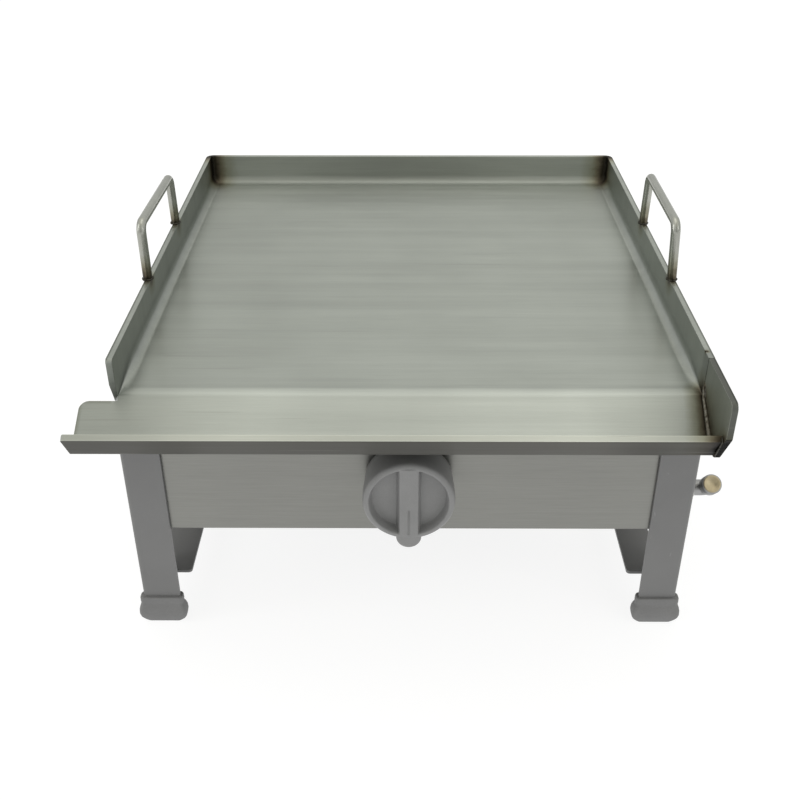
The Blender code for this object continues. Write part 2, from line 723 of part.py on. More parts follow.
def build_knob():
    """Knob with a rounded front edge, a grip bar between two hollows and a lug on its rim."""
    depth = KNOB_BACK - KNOB_FRONT
    rim = arc((KNOB_RADIUS - KNOB_EDGE, depth - KNOB_EDGE), KNOB_EDGE, 90, 0, 4)
    profile = [(0.0, depth), *rim, (KNOB_RADIUS - KNOB_DRAFT, 0.0), (0.0, 0.0)]
    knob = along_y(turned("knob", profile, 48), KNOB_PLASTIC, KNOB_BACK)
    lug_depth = depth - LUG_SETBACK
    lug = cylinder("knob_lug", KNOB_LUG_RADIUS, lug_depth, 28)
    rounded(lug, 0.0025, 2, 60)
    lug_middle = (KNOB_X, KNOB_FRONT + LUG_STEP + lug_depth / 2, KNOB_Z - KNOB_LUG_DROP)
    link_cutter(lug, lug_middle, (math.pi / 2, 0, 0))
    boolean(knob, lug, "UNION")
    reach = KNOB_RADIUS - KNOB_RIM
    start = math.degrees(math.asin(KNOB_GRIP_HALF / reach))
    for side in (-1, 1):
        points = arc((0.0, 0.0), reach, -90 + start, 90 - start, 14)
        hollow = outline(f"knob_hollow_{side}", [(side * x, y) for x, y in points], 2 * KNOB_HOLLOW)
        tool = link_cutter(solid_from_curve(hollow), (KNOB_X, KNOB_FRONT, KNOB_Z), (math.pi / 2, 0, 0))
        boolean(knob, tool, "DIFFERENCE")
    drill(knob, "knob_bore", (KNOB_X, KNOB_BACK, KNOB_Z), (0, 1, 0), STEM_RADIUS + GAP, 2 * KNOB_BORE, 20)


def build_valve():
    """Valve stem, collar, bezel, valve body and injector on the knob's axis."""
    length = STEM_BACK - KNOB_BACK + STEM_OVERLAP
    stem = [(0.0, length), (STEM_RADIUS - STEM_CHAMFER, length), (STEM_RADIUS, length - STEM_CHAMFER),
            (STEM_RADIUS, 0.0), (0.0, 0.0)]
    along_y(turned("valve_stem", stem, 20), PLATED_STEEL, STEM_BACK)
    bore = STEM_RADIUS + GAP
    collar = [(bore, COLLAR_LENGTH), (COLLAR_RADIUS, COLLAR_LENGTH), (COLLAR_RADIUS, 0.0), (bore, 0.0),
              (bore, COLLAR_LENGTH)]
    along_y(turned("stem_collar", collar, 24), PLATED_STEEL, KNOB_BACK + COLLAR_LENGTH + GAP)
    bezel = [(BEZEL_INNER, BEZEL_HEIGHT), (BEZEL_OUTER - 0.0012, BEZEL_HEIGHT), (BEZEL_OUTER, 0.0),
             (BEZEL_INNER, 0.0), (BEZEL_INNER, BEZEL_HEIGHT)]
    along_y(turned("knob_bezel", bezel, 40), PLATED_STEEL, STAND_FRONT + LEG_SHEET)

    low = (KNOB_X - VALVE_HALF_WIDTH, PANEL_REAR, KNOB_Z - VALVE_HALF_HEIGHT)
    high = (KNOB_X + VALVE_HALF_WIDTH, PANEL_REAR + VALVE_LENGTH, KNOB_Z + VALVE_HALF_HEIGHT)
    body = cuboid("valve_body", low, high)
    link_part(rounded(body, 0.002, 2), BRASS, body.location.copy())
    boss = cylinder("valve_boss", 0.0090, 0.004, 24)
    link_cutter(boss, (KNOB_X, PANEL_REAR + 0.0010, KNOB_Z), (math.pi / 2, 0, 0))
    boolean(body, boss, "UNION")
    side_boss = cylinder("valve_side_boss", 0.0070, 0.014, 20)
    link_cutter(side_boss, (KNOB_X + 0.020, VALVE_OUTLET_Y, KNOB_Z), (0, math.pi / 2, 0))
    boolean(body, side_boss, "UNION")
    drill(body, "stem_bore", (KNOB_X, PANEL_REAR + 0.006, KNOB_Z), (0, 1, 0), bore, 0.040, 20)

    jet = [(0.0, JET_LENGTH), (0.0055, JET_LENGTH), (0.0055, 0.006), (0.0035, 0.005), (0.0022, 0.0),
           (0.0006, 0.0), (0.0006, 0.004), (0.0, 0.004)]
    along_y(turned("injector", jet, 20), BRASS, PANEL_REAR + VALVE_LENGTH + GAP + JET_LENGTH)
    hex_nut("pipe_nut", BRASS, (PIPE_NUT_X, VALVE_OUTLET_Y, KNOB_Z), 0.0078, PIPE_RADIUS, 0.009)


def smooth_path(points, radius, steps=5):
    """A run of straight stretches with rounded corners."""
    path = [points[0]]
    for before, corner, after in zip(points, points[1:], points[2:]):
        path += fillet(before, corner, after, radius, steps)
    path.append(points[-1])
    return path


def build_gas_inlet():
    """Elbow through the right side, lock nut, brass hose end and the pipe to the valve."""
    slant = Vector((0.0, -1.0, 1.0)).normalized()
    corner = Vector((INLET_X, INLET_Y, INLET_Z))
    start = Vector((STAND_HALF_WIDTH - INLET_START, INLET_Y, INLET_Z))
    end = corner + slant * (INLET_REACH - ELBOW_SHORTFALL)
    route = smooth_path([start, corner, end], INLET_BEND)
    link_part(tube("inlet_elbow", route, INLET_RADIUS, 4), PLATED_STEEL)
    turn = slant.to_track_quat("Z", "Y").to_euler()
    lip = INLET_END_RADIUS
    hose_end = [(0.0, 0.0), (lip - 0.0012, 0.0), (lip, -0.0010), (lip, -HOSE_END_LENGTH),
                (0.0, -HOSE_END_LENGTH)]
    link_part(turned("inlet_hose_end", hose_end, 28), BRASS, corner + slant * INLET_REACH, turn)
    nut_middle = (STAND_HALF_WIDTH + GAP + LOCK_NUT_LENGTH / 2, INLET_Y, INLET_Z)
    hex_nut("inlet_lock_nut", PLATED_STEEL, nut_middle, LOCK_NUT_RADIUS, INLET_RADIUS, LOCK_NUT_LENGTH)
    bends = [(KNOB_X + 0.0278, VALVE_OUTLET_Y, KNOB_Z), (0.070, VALVE_OUTLET_Y, KNOB_Z),
             (0.120, INLET_Y, INLET_Z), (start.x - GAP, INLET_Y, INLET_Z)]
    link_part(tube("gas_pipe", smooth_path(bends, PIPE_BEND), PIPE_RADIUS), BRASS)


def burner_ports(length):
    """The row of port drills along the tops of the burner's three tubes."""
    spots = []
    for i in range(PORTS_PER_TUBE):
        y = BURNER_FRONT + length * (i + 0.5) / PORTS_PER_TUBE
        spots += [(-BURNER_HALF_SPAN, y), (BURNER_HALF_SPAN, y)]
    for i in range(PORTS_ACROSS):
        x = BURNER_HALF_SPAN * (2 * (i + 1) / (PORTS_ACROSS + 1) - 1)
        spots.append((x, BURNER_MIDDLE))
    bm = bmesh.new()
    for x, y in spots:
        place = Matrix.Translation((x, y, BURNER_Z + BURNER_RADIUS))
        bmesh.ops.create_cone(bm, cap_ends=True, segments=6, radius1=PORT_RADIUS, radius2=PORT_RADIUS,
                              depth=0.010, matrix=place)
    return link_cutter(mesh_object("burner_ports", bm))


def build_burner():
    """H-shaped tube burner with ports along its top, on two cross bars."""
    length = BURNER_BACK - BURNER_FRONT
    burner = cylinder("burner", BURNER_RADIUS, length, 20)
    link_part(burner, CAST_IRON, (-BURNER_HALF_SPAN, BURNER_MIDDLE, BURNER_Z), (math.pi / 2, 0, 0))
    second = cylinder("burner_right_tube", BURNER_RADIUS, length, 20)
    link_cutter(second, (BURNER_HALF_SPAN, BURNER_MIDDLE, BURNER_Z), (math.pi / 2, 0, 0))
    cross = cylinder("burner_cross_tube", BURNER_RADIUS - 0.0005, 2 * BURNER_HALF_SPAN, 20)
    link_cutter(cross, (0.0, BURNER_MIDDLE, BURNER_Z), (0, math.pi / 2, 0))
    neck = cylinder("burner_neck", BURNER_RADIUS - 0.0010, BURNER_NECK, 20)
    link_cutter(neck, (0.0, BURNER_MIDDLE, BURNER_Z - BURNER_NECK / 2), (0, 0, 0))
    for tool in (second, cross, neck):
        boolean(burner, tool, "UNION")
    boolean(burner, burner_ports(length), "DIFFERENCE")

    half = STAND_HALF_WIDTH - LEG_SHEET - PANEL_SHEET - 2 * GAP
    z = BURNER_Z - BURNER_RADIUS - GAP
    for label, y in zip(("front", "rear"), CROSSBAR_YS):
        low = (-half, y - CROSSBAR_WIDTH / 2, z - CROSSBAR_SHEET)
        bar = cuboid(f"burner_crossbar_{label}", low, (half, y + CROSSBAR_WIDTH / 2, z))
        link_part(rounded(bar, 0.0006, 1), PLATED_STEEL, bar.location.copy())
        if label == "front":
            drill(bar, "electrode_hole", (ELECTRODE_X, y, z), (0, 0, 1), ELECTRODE_HOLE, 0.020, 16)


def build_mixing_tube():
    """The tube that leads gas and air from the injector up into the burner, with its air shutter."""
    top = BURNER_Z - BURNER_NECK - GAP
    mouth, elbow = (0.0, MIXER_FRONT, KNOB_Z), (0.0, BURNER_MIDDLE, KNOB_Z)
    route = smooth_path([mouth, elbow, (0.0, BURNER_MIDDLE, top)], 0.012, 6)
    mixing = link_part(solid_from_curve(tube("mixing_tube", route, MIXER_RADIUS, 4)), CAST_IRON)
    drill(mixing, "mixing_bore", mouth, (0, 1, 0), MIXER_BORE, 0.060, 20)

    lip, bore = 0.0065, MIXER_RADIUS + GAP
    end = SHUTTER_LENGTH - 0.0015
    shutter = [(lip, SHUTTER_LENGTH), (SHUTTER_RADIUS, SHUTTER_LENGTH), (SHUTTER_RADIUS, 0.0), (bore, 0.0),
               (bore, end), (lip, end), (lip, SHUTTER_LENGTH)]
    ring = along_y(turned("air_shutter", shutter, 28), PLATED_STEEL, SHUTTER_FRONT, x=0.0)
    half = 0.004
    for side in (-1, 1):
        x = side * 0.011
        window = cuboid(f"shutter_window_{side}", (x - half, MIXER_FRONT + 0.002, KNOB_Z - half),
                        (x + half, MIXER_FRONT + 0.007, KNOB_Z + half))
        boolean(ring, link_cutter(window, window.location), "DIFFERENCE")


def build_igniter():
    """Ceramic spark electrode in the front crossbar, with its lead from the valve."""
    z = BURNER_Z - BURNER_RADIUS
    tail = -ELECTRODE_TAIL
    body = [(0.0, 0.026), (0.0008, 0.026), (0.0008, 0.016), (0.0032, 0.015), (0.0032, 0.0035),
            (0.0060, 0.0035), (0.0060, 0.0), (0.0040, 0.0), (0.0040, tail), (0.0, tail)]
    link_part(turned("igniter_electrode", body, 16), CERAMIC, (ELECTRODE_X, CROSSBAR_YS[0], z))
    route = smooth_path([(KNOB_X - VALVE_HALF_WIDTH - GAP, LEAD_Y, KNOB_Z), (-0.045, LEAD_Y, KNOB_Z),
                         (ELECTRODE_X, 0.075, LEAD_Z), (ELECTRODE_X, CROSSBAR_YS[0], LEAD_Z),
                         (ELECTRODE_X, CROSSBAR_YS[0], z + tail - GAP)], 0.010, 4)
    link_part(tube("igniter_lead", route, 0.0015, 2), FOOT_RUBBER)


build_griddle()
build_end_plate()
build_handles()
build_stand()
build_knob()
build_valve()
build_gas_inlet()
build_burner()
build_mixing_tube()
build_igniter()
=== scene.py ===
"""Looks of the flat top griddle: fine meshes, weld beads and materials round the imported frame.

Lengths are in metres in the frame's own axes: +X to the right, +Y to the back, +Z up.
"""

import json
import math

import bmesh
import bpy
from mathutils import Matrix, Vector, noise


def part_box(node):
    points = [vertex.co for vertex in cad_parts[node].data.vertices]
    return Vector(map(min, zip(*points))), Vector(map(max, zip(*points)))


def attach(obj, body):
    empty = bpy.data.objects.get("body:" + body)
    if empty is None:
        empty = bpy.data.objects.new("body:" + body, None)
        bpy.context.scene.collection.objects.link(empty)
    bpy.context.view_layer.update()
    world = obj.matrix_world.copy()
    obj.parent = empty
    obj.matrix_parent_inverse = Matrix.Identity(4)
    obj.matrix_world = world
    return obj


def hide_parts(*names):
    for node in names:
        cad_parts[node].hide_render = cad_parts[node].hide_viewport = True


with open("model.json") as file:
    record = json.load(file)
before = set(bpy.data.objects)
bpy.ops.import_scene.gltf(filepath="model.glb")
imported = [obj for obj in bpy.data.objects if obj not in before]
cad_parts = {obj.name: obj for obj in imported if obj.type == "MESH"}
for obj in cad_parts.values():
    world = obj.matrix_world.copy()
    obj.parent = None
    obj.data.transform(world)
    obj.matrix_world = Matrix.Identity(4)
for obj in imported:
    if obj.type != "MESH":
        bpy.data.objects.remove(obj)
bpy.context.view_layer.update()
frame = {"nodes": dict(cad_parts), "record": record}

# Camera
CAMERA_PLACE = (-0.00837, -0.86955, 0.64841)
CAMERA_PITCH = 31.682
CAMERA_TURN = 0.348
CAMERA_ROLL = -0.077
CAMERA_LENS = 46.815

# Studio: colours of the dome by height and towards the front, then softboxes as name, place, aim, size
# and watts
SKY_HEIGHTS = ((0.0, (0.66, 0.665, 0.65)), (0.45, (0.87, 0.88, 0.865)), (0.72, (1.00, 1.00, 0.955)),
               (1.0, (1.08, 1.06, 0.98)))
SKY_FRONT = (0.45, 0.44, 0.40)
SOFTBOXES = (
    ("overhead", (0.03, 0.3, 2.3), (0.03, 0.3, 0.2), (1.15, 1.6), 3.9),
    ("left_strip", (-1.7, -0.5, 0.9), (-0.2, -0.1, 0.25), (0.45, 1.3), 5.0),
    ("right_strip", (1.5, -1.1, 1.0), (0.2, -0.1, 0.25), (0.25, 1.0), 1.6),
)

# Griddle plate, as the CAD drives it
WIDTH = 0.4512
DEPTH = 0.461
SHEET = 0.005
WALL_RISE = 0.0300
WALL_BEND = 0.008
CORNER_BEND = 0.003
LEFT_WALL_RUN_OUT = 0.005
FLANGE_RUN = 0.0429
FLANGE_DROP = 0.0228
LIP_RUN = 0.0146
LIP_RISE = 0.0220
TROUGH_BEND = 0.003
TAB_START = 0.0082
GAP = 0.0003
HALF_WIDTH = WIDTH / 2
HALF_FLOOR = HALF_WIDTH - SHEET
FLOOR_DEPTH = DEPTH - SHEET
WALL_MIDDLE = HALF_WIDTH - SHEET / 2

# Roundings of the fine mesh, some of them wider than the CAD's, and the depths where its side walls are cut
# so that the bends change shape only near their ends
FRONT_BEND = 0.028
TAB_CORNER = 0.0075
LIP_CORNER = 0.002
WALL_END_CORNER = 0.0030
EDGE_BREAK = 0.0006
WALL_CUTS = (0.050, FLOOR_DEPTH - 0.020)

# Places read from the frame
PLATE_LOW, PLATE_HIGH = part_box("griddle_plate")
DATUM = Vector((PLATE_HIGH.x - HALF_WIDTH, PLATE_HIGH.y - DEPTH, PLATE_HIGH.z - WALL_RISE))
TAB_OVERHANG = DATUM.x - HALF_WIDTH - PLATE_LOW.x
FRONT_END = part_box("trough_end_plate")[0].y - DATUM.y
HANDLE_LOW, HANDLE_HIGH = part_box("handle_left")
HANDLE_ROD = (HANDLE_HIGH.x - HANDLE_LOW.x) / 2
HANDLE_FRONT = HANDLE_LOW.y + HANDLE_ROD - DATUM.y
HANDLE_BACK = HANDLE_HIGH.y - HANDLE_ROD - DATUM.y
HANDLE_TOP = HANDLE_HIGH.z - HANDLE_ROD - DATUM.z

# Each handle was bent by hand: how far its top corners lean, as the CAD drives it
HANDLE_BEND = 0.008
HANDLES = {
    "left": {"foot_x": -0.2235, "front_lean": (0.0, 0.0, 0.0), "rear_lean": (0.0, -0.0045, -0.0025)},
    "right": {"foot_x": 0.2227, "front_lean": (-0.002, 0.003, 0.0), "rear_lean": (0.0, -0.004, -0.001)},
}


# ---------------------------------------------------------------- mesh helpers

def link(obj):
    bpy.context.scene.collection.objects.link(obj)
    return obj


def mesh_piece(name, bm, smooth=True):
    """A linked object from a bmesh, which is used up."""
    mesh = bpy.data.meshes.new(name)
    bm.to_mesh(mesh)
    bm.free()
    if smooth:
        mesh.shade_smooth()
    return link(bpy.data.objects.new(name, mesh))


def closed_piece(name, bm):
    bmesh.ops.recalc_face_normals(bm, faces=bm.faces)
    return mesh_piece(name, bm)


def show(obj, material, body, slot, *stands_for):
    """Give a finished piece its material and its body, and hide the CAD nodes that it stands for."""
    obj.data.materials.clear()
    obj.data.materials.append(material)
    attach(obj, body)
    if stands_for:
        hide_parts(*stands_for)
    return obj


def arc(centre, radius, start, end, steps):
    """Points round an arc, angles in degrees."""
    points = []
    for i in range(steps + 1):
        angle = math.radians(start + (end - start) * i / steps)
        points.append((centre[0] + radius * math.cos(angle), centre[1] + radius * math.sin(angle)))
    return points


def fillet(before, corner, after, radius, steps):
    """The points that round off a corner, in the plane or in space."""
    before, corner, after = Vector(before), Vector(corner), Vector(after)
    back = (before - corner).normalized()
    ahead = (after - corner).normalized()
    half_angle = back.angle(ahead) / 2
    centre = corner + (back + ahead).normalized() * radius / math.sin(half_angle)
    start = corner + back * radius / math.tan(half_angle) - centre
    end = corner + ahead * radius / math.tan(half_angle) - centre
    swing = math.pi - 2 * half_angle
    points = []
    for i in range(steps + 1):
        done = swing * i / steps
        spoke = (start * math.sin(swing - done) + end * math.sin(done)) / math.sin(swing)
        points.append(centre + spoke)
    return points


def smooth_path(points, radius, steps=12):
    path = [Vector(points[0])]
    for before, corner, after in zip(points, points[1:], points[2:]):
        path += fillet(before, corner, after, radius, steps)
    path.append(Vector(points[-1]))
    return path


def grown_points(bm, edges, shift):
    """Extrude edges by a shift and return the new points."""
    grown = bmesh.ops.extrude_edge_only(bm, edges=edges)["geom"]
    points = [item for item in grown if isinstance(item, bmesh.types.BMVert)]
    bmesh.ops.translate(bm, verts=points, vec=shift)
    return points


def bevelled(obj, width, segments=3, angle=40):
    bevel = obj.modifiers.new("edges", "BEVEL")
    bevel.width = width
    bevel.segments = segments
    bevel.limit_method = "ANGLE"
    bevel.angle_limit = math.radians(angle)
    bevel.use_clamp_overlap = True
    return obj


def flat_shaded_flats(obj):
    """Shade large faces flat and the rounded edges between them smooth."""
    weighted = obj.modifiers.new("normals", "WEIGHTED_NORMAL")
    weighted.weight = 100
    weighted.keep_sharp = True
    return obj


def thickened(obj, thickness, offset):
    solid = obj.modifiers.new("sheet", "SOLIDIFY")
    solid.thickness = thickness
    solid.offset = offset
    solid.use_even_offset = True
    return obj


def boolean(obj, tool, operation):
    step = obj.modifiers.new(operation.lower(), "BOOLEAN")
    step.operation = operation
    step.object = tool
    step.solver = "EXACT"
    return obj


def applied(obj):
    """Turn an object's modifiers into its mesh."""
    bpy.context.view_layer.update()
    evaluated = obj.evaluated_get(bpy.context.evaluated_depsgraph_get())
    mesh = bpy.data.meshes.new_from_object(evaluated)
    obj.modifiers.clear()
    obj.data = mesh
    return obj


def bar_curve(name, points, radius, resolution=8):
    """A round bar along a run of points."""
    curve = bpy.data.curves.new(name, "CURVE")
    curve.dimensions = "3D"
    curve.bevel_depth = radius
    curve.bevel_resolution = resolution
    curve.use_fill_caps = True
    spline = curve.splines.new("POLY")
    spline.points.add(len(points) - 1)
    for point, co in zip(spline.points, points):
        point.co = (*co, 1.0)
    spline.use_smooth = True
    return link(bpy.data.objects.new(name, curve))


def plate_from_outline(name, points, thickness):
    """A flat plate in its own XY plane, half its thickness each side."""
    bm = bmesh.new()
    face = bm.faces.new([bm.verts.new((x, y, -thickness / 2)) for x, y in points])
    grown = bmesh.ops.extrude_face_region(bm, geom=[face])["geom"]
    top = [item for item in grown if isinstance(item, bmesh.types.BMVert)]
    bmesh.ops.translate(bm, verts=top, vec=(0.0, 0.0, thickness))
    return closed_piece(name, bm)


def turned(profile, steps=64):
    """A closed solid turned about its own Z from (radius, height) points, top to bottom."""
    bm = bmesh.new()
    rings = []
    for radius, height in profile:
        if radius == 0.0:
            rings.append([bm.verts.new((0.0, 0.0, height))])
            continue
        turns = [math.tau * i / steps for i in range(steps)]
        rings.append([bm.verts.new((radius * math.cos(a), radius * math.sin(a), height)) for a in turns])
    for upper, lower in zip(rings, rings[1:]):
        for i in range(steps):
            j = (i + 1) % steps
            corners = [ring[k % len(ring)] for ring, k in ((upper, i), (upper, j), (lower, j), (lower, i))]
            unique = list(dict.fromkeys(corners))
            if len(unique) > 2:
                bm.faces.new(unique)
    return bm


def lofted(rings):
    """A bmesh skin through rings of equally many points, closed at both ends."""
    bm = bmesh.new()
    rows = [[bm.verts.new(point) for point in ring] for ring in rings]
    for lower, upper in zip(rows, rows[1:]):
        for i in range(len(lower)):
            j = (i + 1) % len(lower)
            bm.faces.new((lower[i], lower[j], upper[j], upper[i]))
    bm.faces.new(list(reversed(rows[0])))
    bm.faces.new(rows[-1])
    return bm


def resampled(points, step, closed):
    """The same route with a point every step or so."""
    points = [Vector(p) for p in points]
    if closed:
        points.append(points[0])
    lengths = [0.0]
    for a, b in zip(points, points[1:]):
        lengths.append(lengths[-1] + (b - a).length)
    count = max(4, round(lengths[-1] / step))
    route = []
    k = 0
    for i in range(count if closed else count + 1):
        along = lengths[-1] * i / count
        while k < len(points) - 2 and lengths[k + 1] < along:
            k += 1
        share = (along - lengths[k]) / (lengths[k + 1] - lengths[k])
        route.append(points[k].lerp(points[k + 1], share))
    return route


def weld_bead(name, points, radius, closed=False, ripple=0.0016, uneven=0.16, sides=12, growth=1.0):
    """A weld bead: a rod of overlapping scales, uneven in width, growing along its route."""
    step = ripple / 6
    route = resampled(points, step, closed)
    count = len(route)
    seed = Vector((len(name) * 3.7, ord(name[-1]) * 1.3, ord(name[-5]) * 0.7))
    rings = []
    for i, place in enumerate(route):
        ahead = route[(i + 1) % count] if closed or i + 1 < count else place
        behind = route[i - 1] if closed or i > 0 else place
        tangent = (ahead - behind).normalized()
        if abs(tangent.x) > 0.999:
            side = tangent.orthogonal()
        else:
            side = tangent.cross(Vector((1, 0, 0))).normalized()
        up = tangent.cross(side).normalized()
        scale = (i * step / ripple) % 1.0
        swell = 0.90 + 0.16 * math.sqrt(1.0 - scale)
        size = 1.0 + uneven * (noise.noise(place * 420 + seed) + 0.5 * noise.noise(place * 1300 + seed))
        size *= 1.0 + (growth - 1.0) * i / count
        if not closed:
            from_end = min(i, count - 1 - i) * step
            size *= min(1.0, 0.35 + from_end / (2 * radius))
        ring = []
        for k in range(sides):
            angle = math.tau * k / sides
            ring.append(place + (side * math.cos(angle) + up * math.sin(angle)) * radius * swell * size)
        rings.append(ring)
    if not closed:
        return closed_piece(name, lofted(rings))
    bm = bmesh.new()
    rows = [[bm.verts.new(point) for point in ring] for ring in rings]
    for lower, upper in zip(rows, rows[1:] + rows[:1]):
        for k in range(sides):
            j = (k + 1) % sides
            bm.faces.new((lower[k], lower[j], upper[j], upper[k]))
    return closed_piece(name, bm)


# ---------------------------------------------------------------- material helpers

class Tree:
    """One material's node tree, with short calls for the nodes used here."""

    def __init__(self, name):
        self.material = bpy.data.materials.new(name)
        self.material.use_nodes = True
        self.tree = self.material.node_tree
        self.shader = self.tree.nodes["Principled BSDF"]

    @staticmethod
    def of_world(world):
        """The same calls for a world's tree, with its background as the shader."""
        sky = Tree.__new__(Tree)
        world.use_nodes = True
        sky.tree = world.node_tree
        sky.shader = sky.tree.nodes["Background"]
        return sky

    def put(self, socket, value):
        if isinstance(value, bpy.types.NodeSocket):
            self.tree.links.new(value, socket)
        elif isinstance(value, tuple) and len(value) == 3 and socket.type == "RGBA":
            socket.default_value = (*value, 1.0)
        else:
            socket.default_value = value

    def add(self, kind, inputs, out=0, **settings):
        node = self.tree.nodes.new(kind)
        for key, value in settings.items():
            setattr(node, key, value)
        for key, value in inputs.items():
            self.put(node.inputs[key], value)
        return node.outputs[out]

    def shade(self, **inputs):
        for key, value in inputs.items():
            self.put(self.shader.inputs[key.replace("_", " ")], value)
        return self.material

    def place(self, scale=(1.0, 1.0, 1.0)):
        """The point's own coordinates, in metres times the scale."""
        here = self.add("ShaderNodeTexCoord", {}, "Object")
        return self.vector("MULTIPLY", here, scale)

    def vector(self, operation, a, b=(0.0, 0.0, 0.0), out=0):
        return self.add("ShaderNodeVectorMath", {0: a, 1: b}, out, operation=operation)

    def math(self, operation, a, b=0.0, clamp=False):
        return self.add("ShaderNodeMath", {0: a, 1: b}, operation=operation, use_clamp=clamp)

    def noise(self, vector, scale=1.0, detail=2.0, rough=0.5):
        return self.add("ShaderNodeTexNoise", {"Vector": vector, "Scale": scale, "Detail": detail,
                                               "Roughness": rough})

    def span(self, value, low, high, to_low=0.0, to_high=1.0):
        """Map a value from one range to another, held at its ends."""
        return self.add("ShaderNodeMapRange", {"Value": value, "From Min": low, "From Max": high,
                                               "To Min": to_low, "To Max": to_high})

    def mix(self, share, a, b, blend="MIX"):
        node = self.tree.nodes.new("ShaderNodeMix")
        node.data_type = "RGBA"
        node.blend_type = blend
        self.put(node.inputs["Factor"], share)
        self.put(node.inputs[6], a)
        self.put(node.inputs[7], b)
        return node.outputs[2]

    def tinted(self, colour, amount):
        """A colour multiplied by an amount that varies round 1."""
        grey = self.add("ShaderNodeCombineColor", {0: amount, 1: amount, 2: amount})
        return self.mix(1.0, colour, grey, "MULTIPLY")

    def ramp(self, value, stops):
        node = self.tree.nodes.new("ShaderNodeValToRGB")
        self.put(node.inputs[0], value)
        elements = node.color_ramp.elements
        while len(elements) < len(stops):
            elements.new(0.5)
        for element, (position, colour) in zip(elements, stops):
            element.position = position
            element.color = (*colour, 1.0)
        return node.outputs[0]

    def bump(self, height, distance, strength=1.0, normal=None):
        inputs = {"Height": height, "Distance": distance, "Strength": strength}
        if normal is not None:
            inputs["Normal"] = normal
        return self.add("ShaderNodeBump", inputs)

    def segment_distance(self, position, start, end):
        """Distance from a point to the line between start and end."""
        start, run = Vector(start), Vector(end) - Vector(start)
        from_start = self.vector("SUBTRACT", position, tuple(start))
        along = self.vector("DOT_PRODUCT", from_start, tuple(run), "Value")
        share = self.math("MULTIPLY", along, 1.0 / run.length_squared, clamp=True)
        foot = self.add("ShaderNodeVectorMath", {0: tuple(run), "Scale": share}, operation="SCALE")
        return self.vector("LENGTH", self.vector("SUBTRACT", from_start, foot), out="Value")


# ---------------------------------------------------------------- materials

# Tones of the griddle's bends, edges and welds, most of them ramps of (position, colour or grey): the bends
# by how far they face the front, the flange by metres from its middle, the heat by distance to a weld. The
# wall, bend, flange, rim, tab edge and lip band tones are painted reflection, highlight and shade; the heat,
# bead and scratch colours are the metal's own.
BACK_WALL_TONE = (1.10, 1.10, 1.09)
BACK_WALL_MIDDLE_TONE = (0.86, 0.86, 0.85)
BACK_BEND_TONES = ((0.10, (0.90, 0.90, 0.90)), (0.40, (0.78, 0.78, 0.78)), (0.85, (0.73, 0.73, 0.72)))
FRONT_BEND_TONES = ((0.02, 0.90), (0.08, 1.02), (0.22, 1.10), (0.42, 1.0))
FLANGE_END_TONES = ((0.0, 0.99), (0.12, 1.10), (0.17, 1.05), (0.22, 0.88), (0.27, 0.80))
# Painted shade on the wall rims' outer edges and along the tab's edges, and painted highlights and shade
# across the lip band.
RIM_PAINTED_SHADE = (0.50, 0.50, 0.48)
TAB_EDGE_PAINTED_SHADE = (0.74, 0.74, 0.70)
LIP_BAND_REACH = 0.005
LIP_BAND_PAINTED_LIGHT = (
    (0.0, (1.18, 1.16, 1.14)), (0.34, (1.18, 1.16, 1.14)), (0.46, (1.48, 1.46, 1.42)),
    (0.56, (1.0, 1.0, 1.0)), (0.62, (0.80, 0.79, 0.74)), (0.85, (1.0, 1.0, 1.0)))
SHEET_HEAT = (
    (0.00, (0.06, 0.052, 0.045)), (0.15, (0.12, 0.10, 0.078)), (0.24, (0.27, 0.215, 0.17)),
    (0.36, (0.50, 0.43, 0.34)), (0.55, (0.78, 0.75, 0.65)), (1.00, (1.0, 1.0, 1.0)))
BAR_HEAT_REACH = 0.026
BAR_HEAT = (
    (0.00, (0.10, 0.088, 0.075)), (0.16, (0.27, 0.23, 0.18)), (0.36, (0.62, 0.58, 0.48)),
    (0.70, (0.86, 0.85, 0.79)), (1.00, (1.0, 1.0, 1.0)))
BEAD_COLOURS = (
    (0.30, (0.040, 0.036, 0.030)), (0.45, (0.105, 0.095, 0.070)), (0.56, (0.15, 0.14, 0.115)),
    (0.70, (0.18, 0.175, 0.15)), (0.90, (0.27, 0.265, 0.25)))
SCRATCH_COLOUR = (0.22, 0.22, 0.20)


def greys(stops, reach=1.0):
    """Ramp stops of plain grey from (position, tone), for a ramp that ends at the reach."""
    return tuple((position / reach, (tone,) * 3) for position, tone in stops)


def side_mask(t):
    """1 on faces that look to the left or right, 0 on the others."""
    normal = t.add("ShaderNodeNewGeometry", {}, "Normal")
    split = t.add("ShaderNodeSeparateXYZ", {0: normal})
    return t.span(t.math("ABSOLUTE", split), 0.55, 0.85)


def brushed_layers(t, along_x, across, detail=3.0):
    """Grain that runs along X, and up the side walls that were folded from the same sheet."""
    flat = t.noise(t.place((along_x, across, across)), detail=detail, rough=0.6)
    wall = t.noise(t.place((across, across, along_x)), detail=detail, rough=0.6)
    mixed = t.add("ShaderNodeMix", {0: side_mask(t), 2: flat, 3: wall})
    return mixed


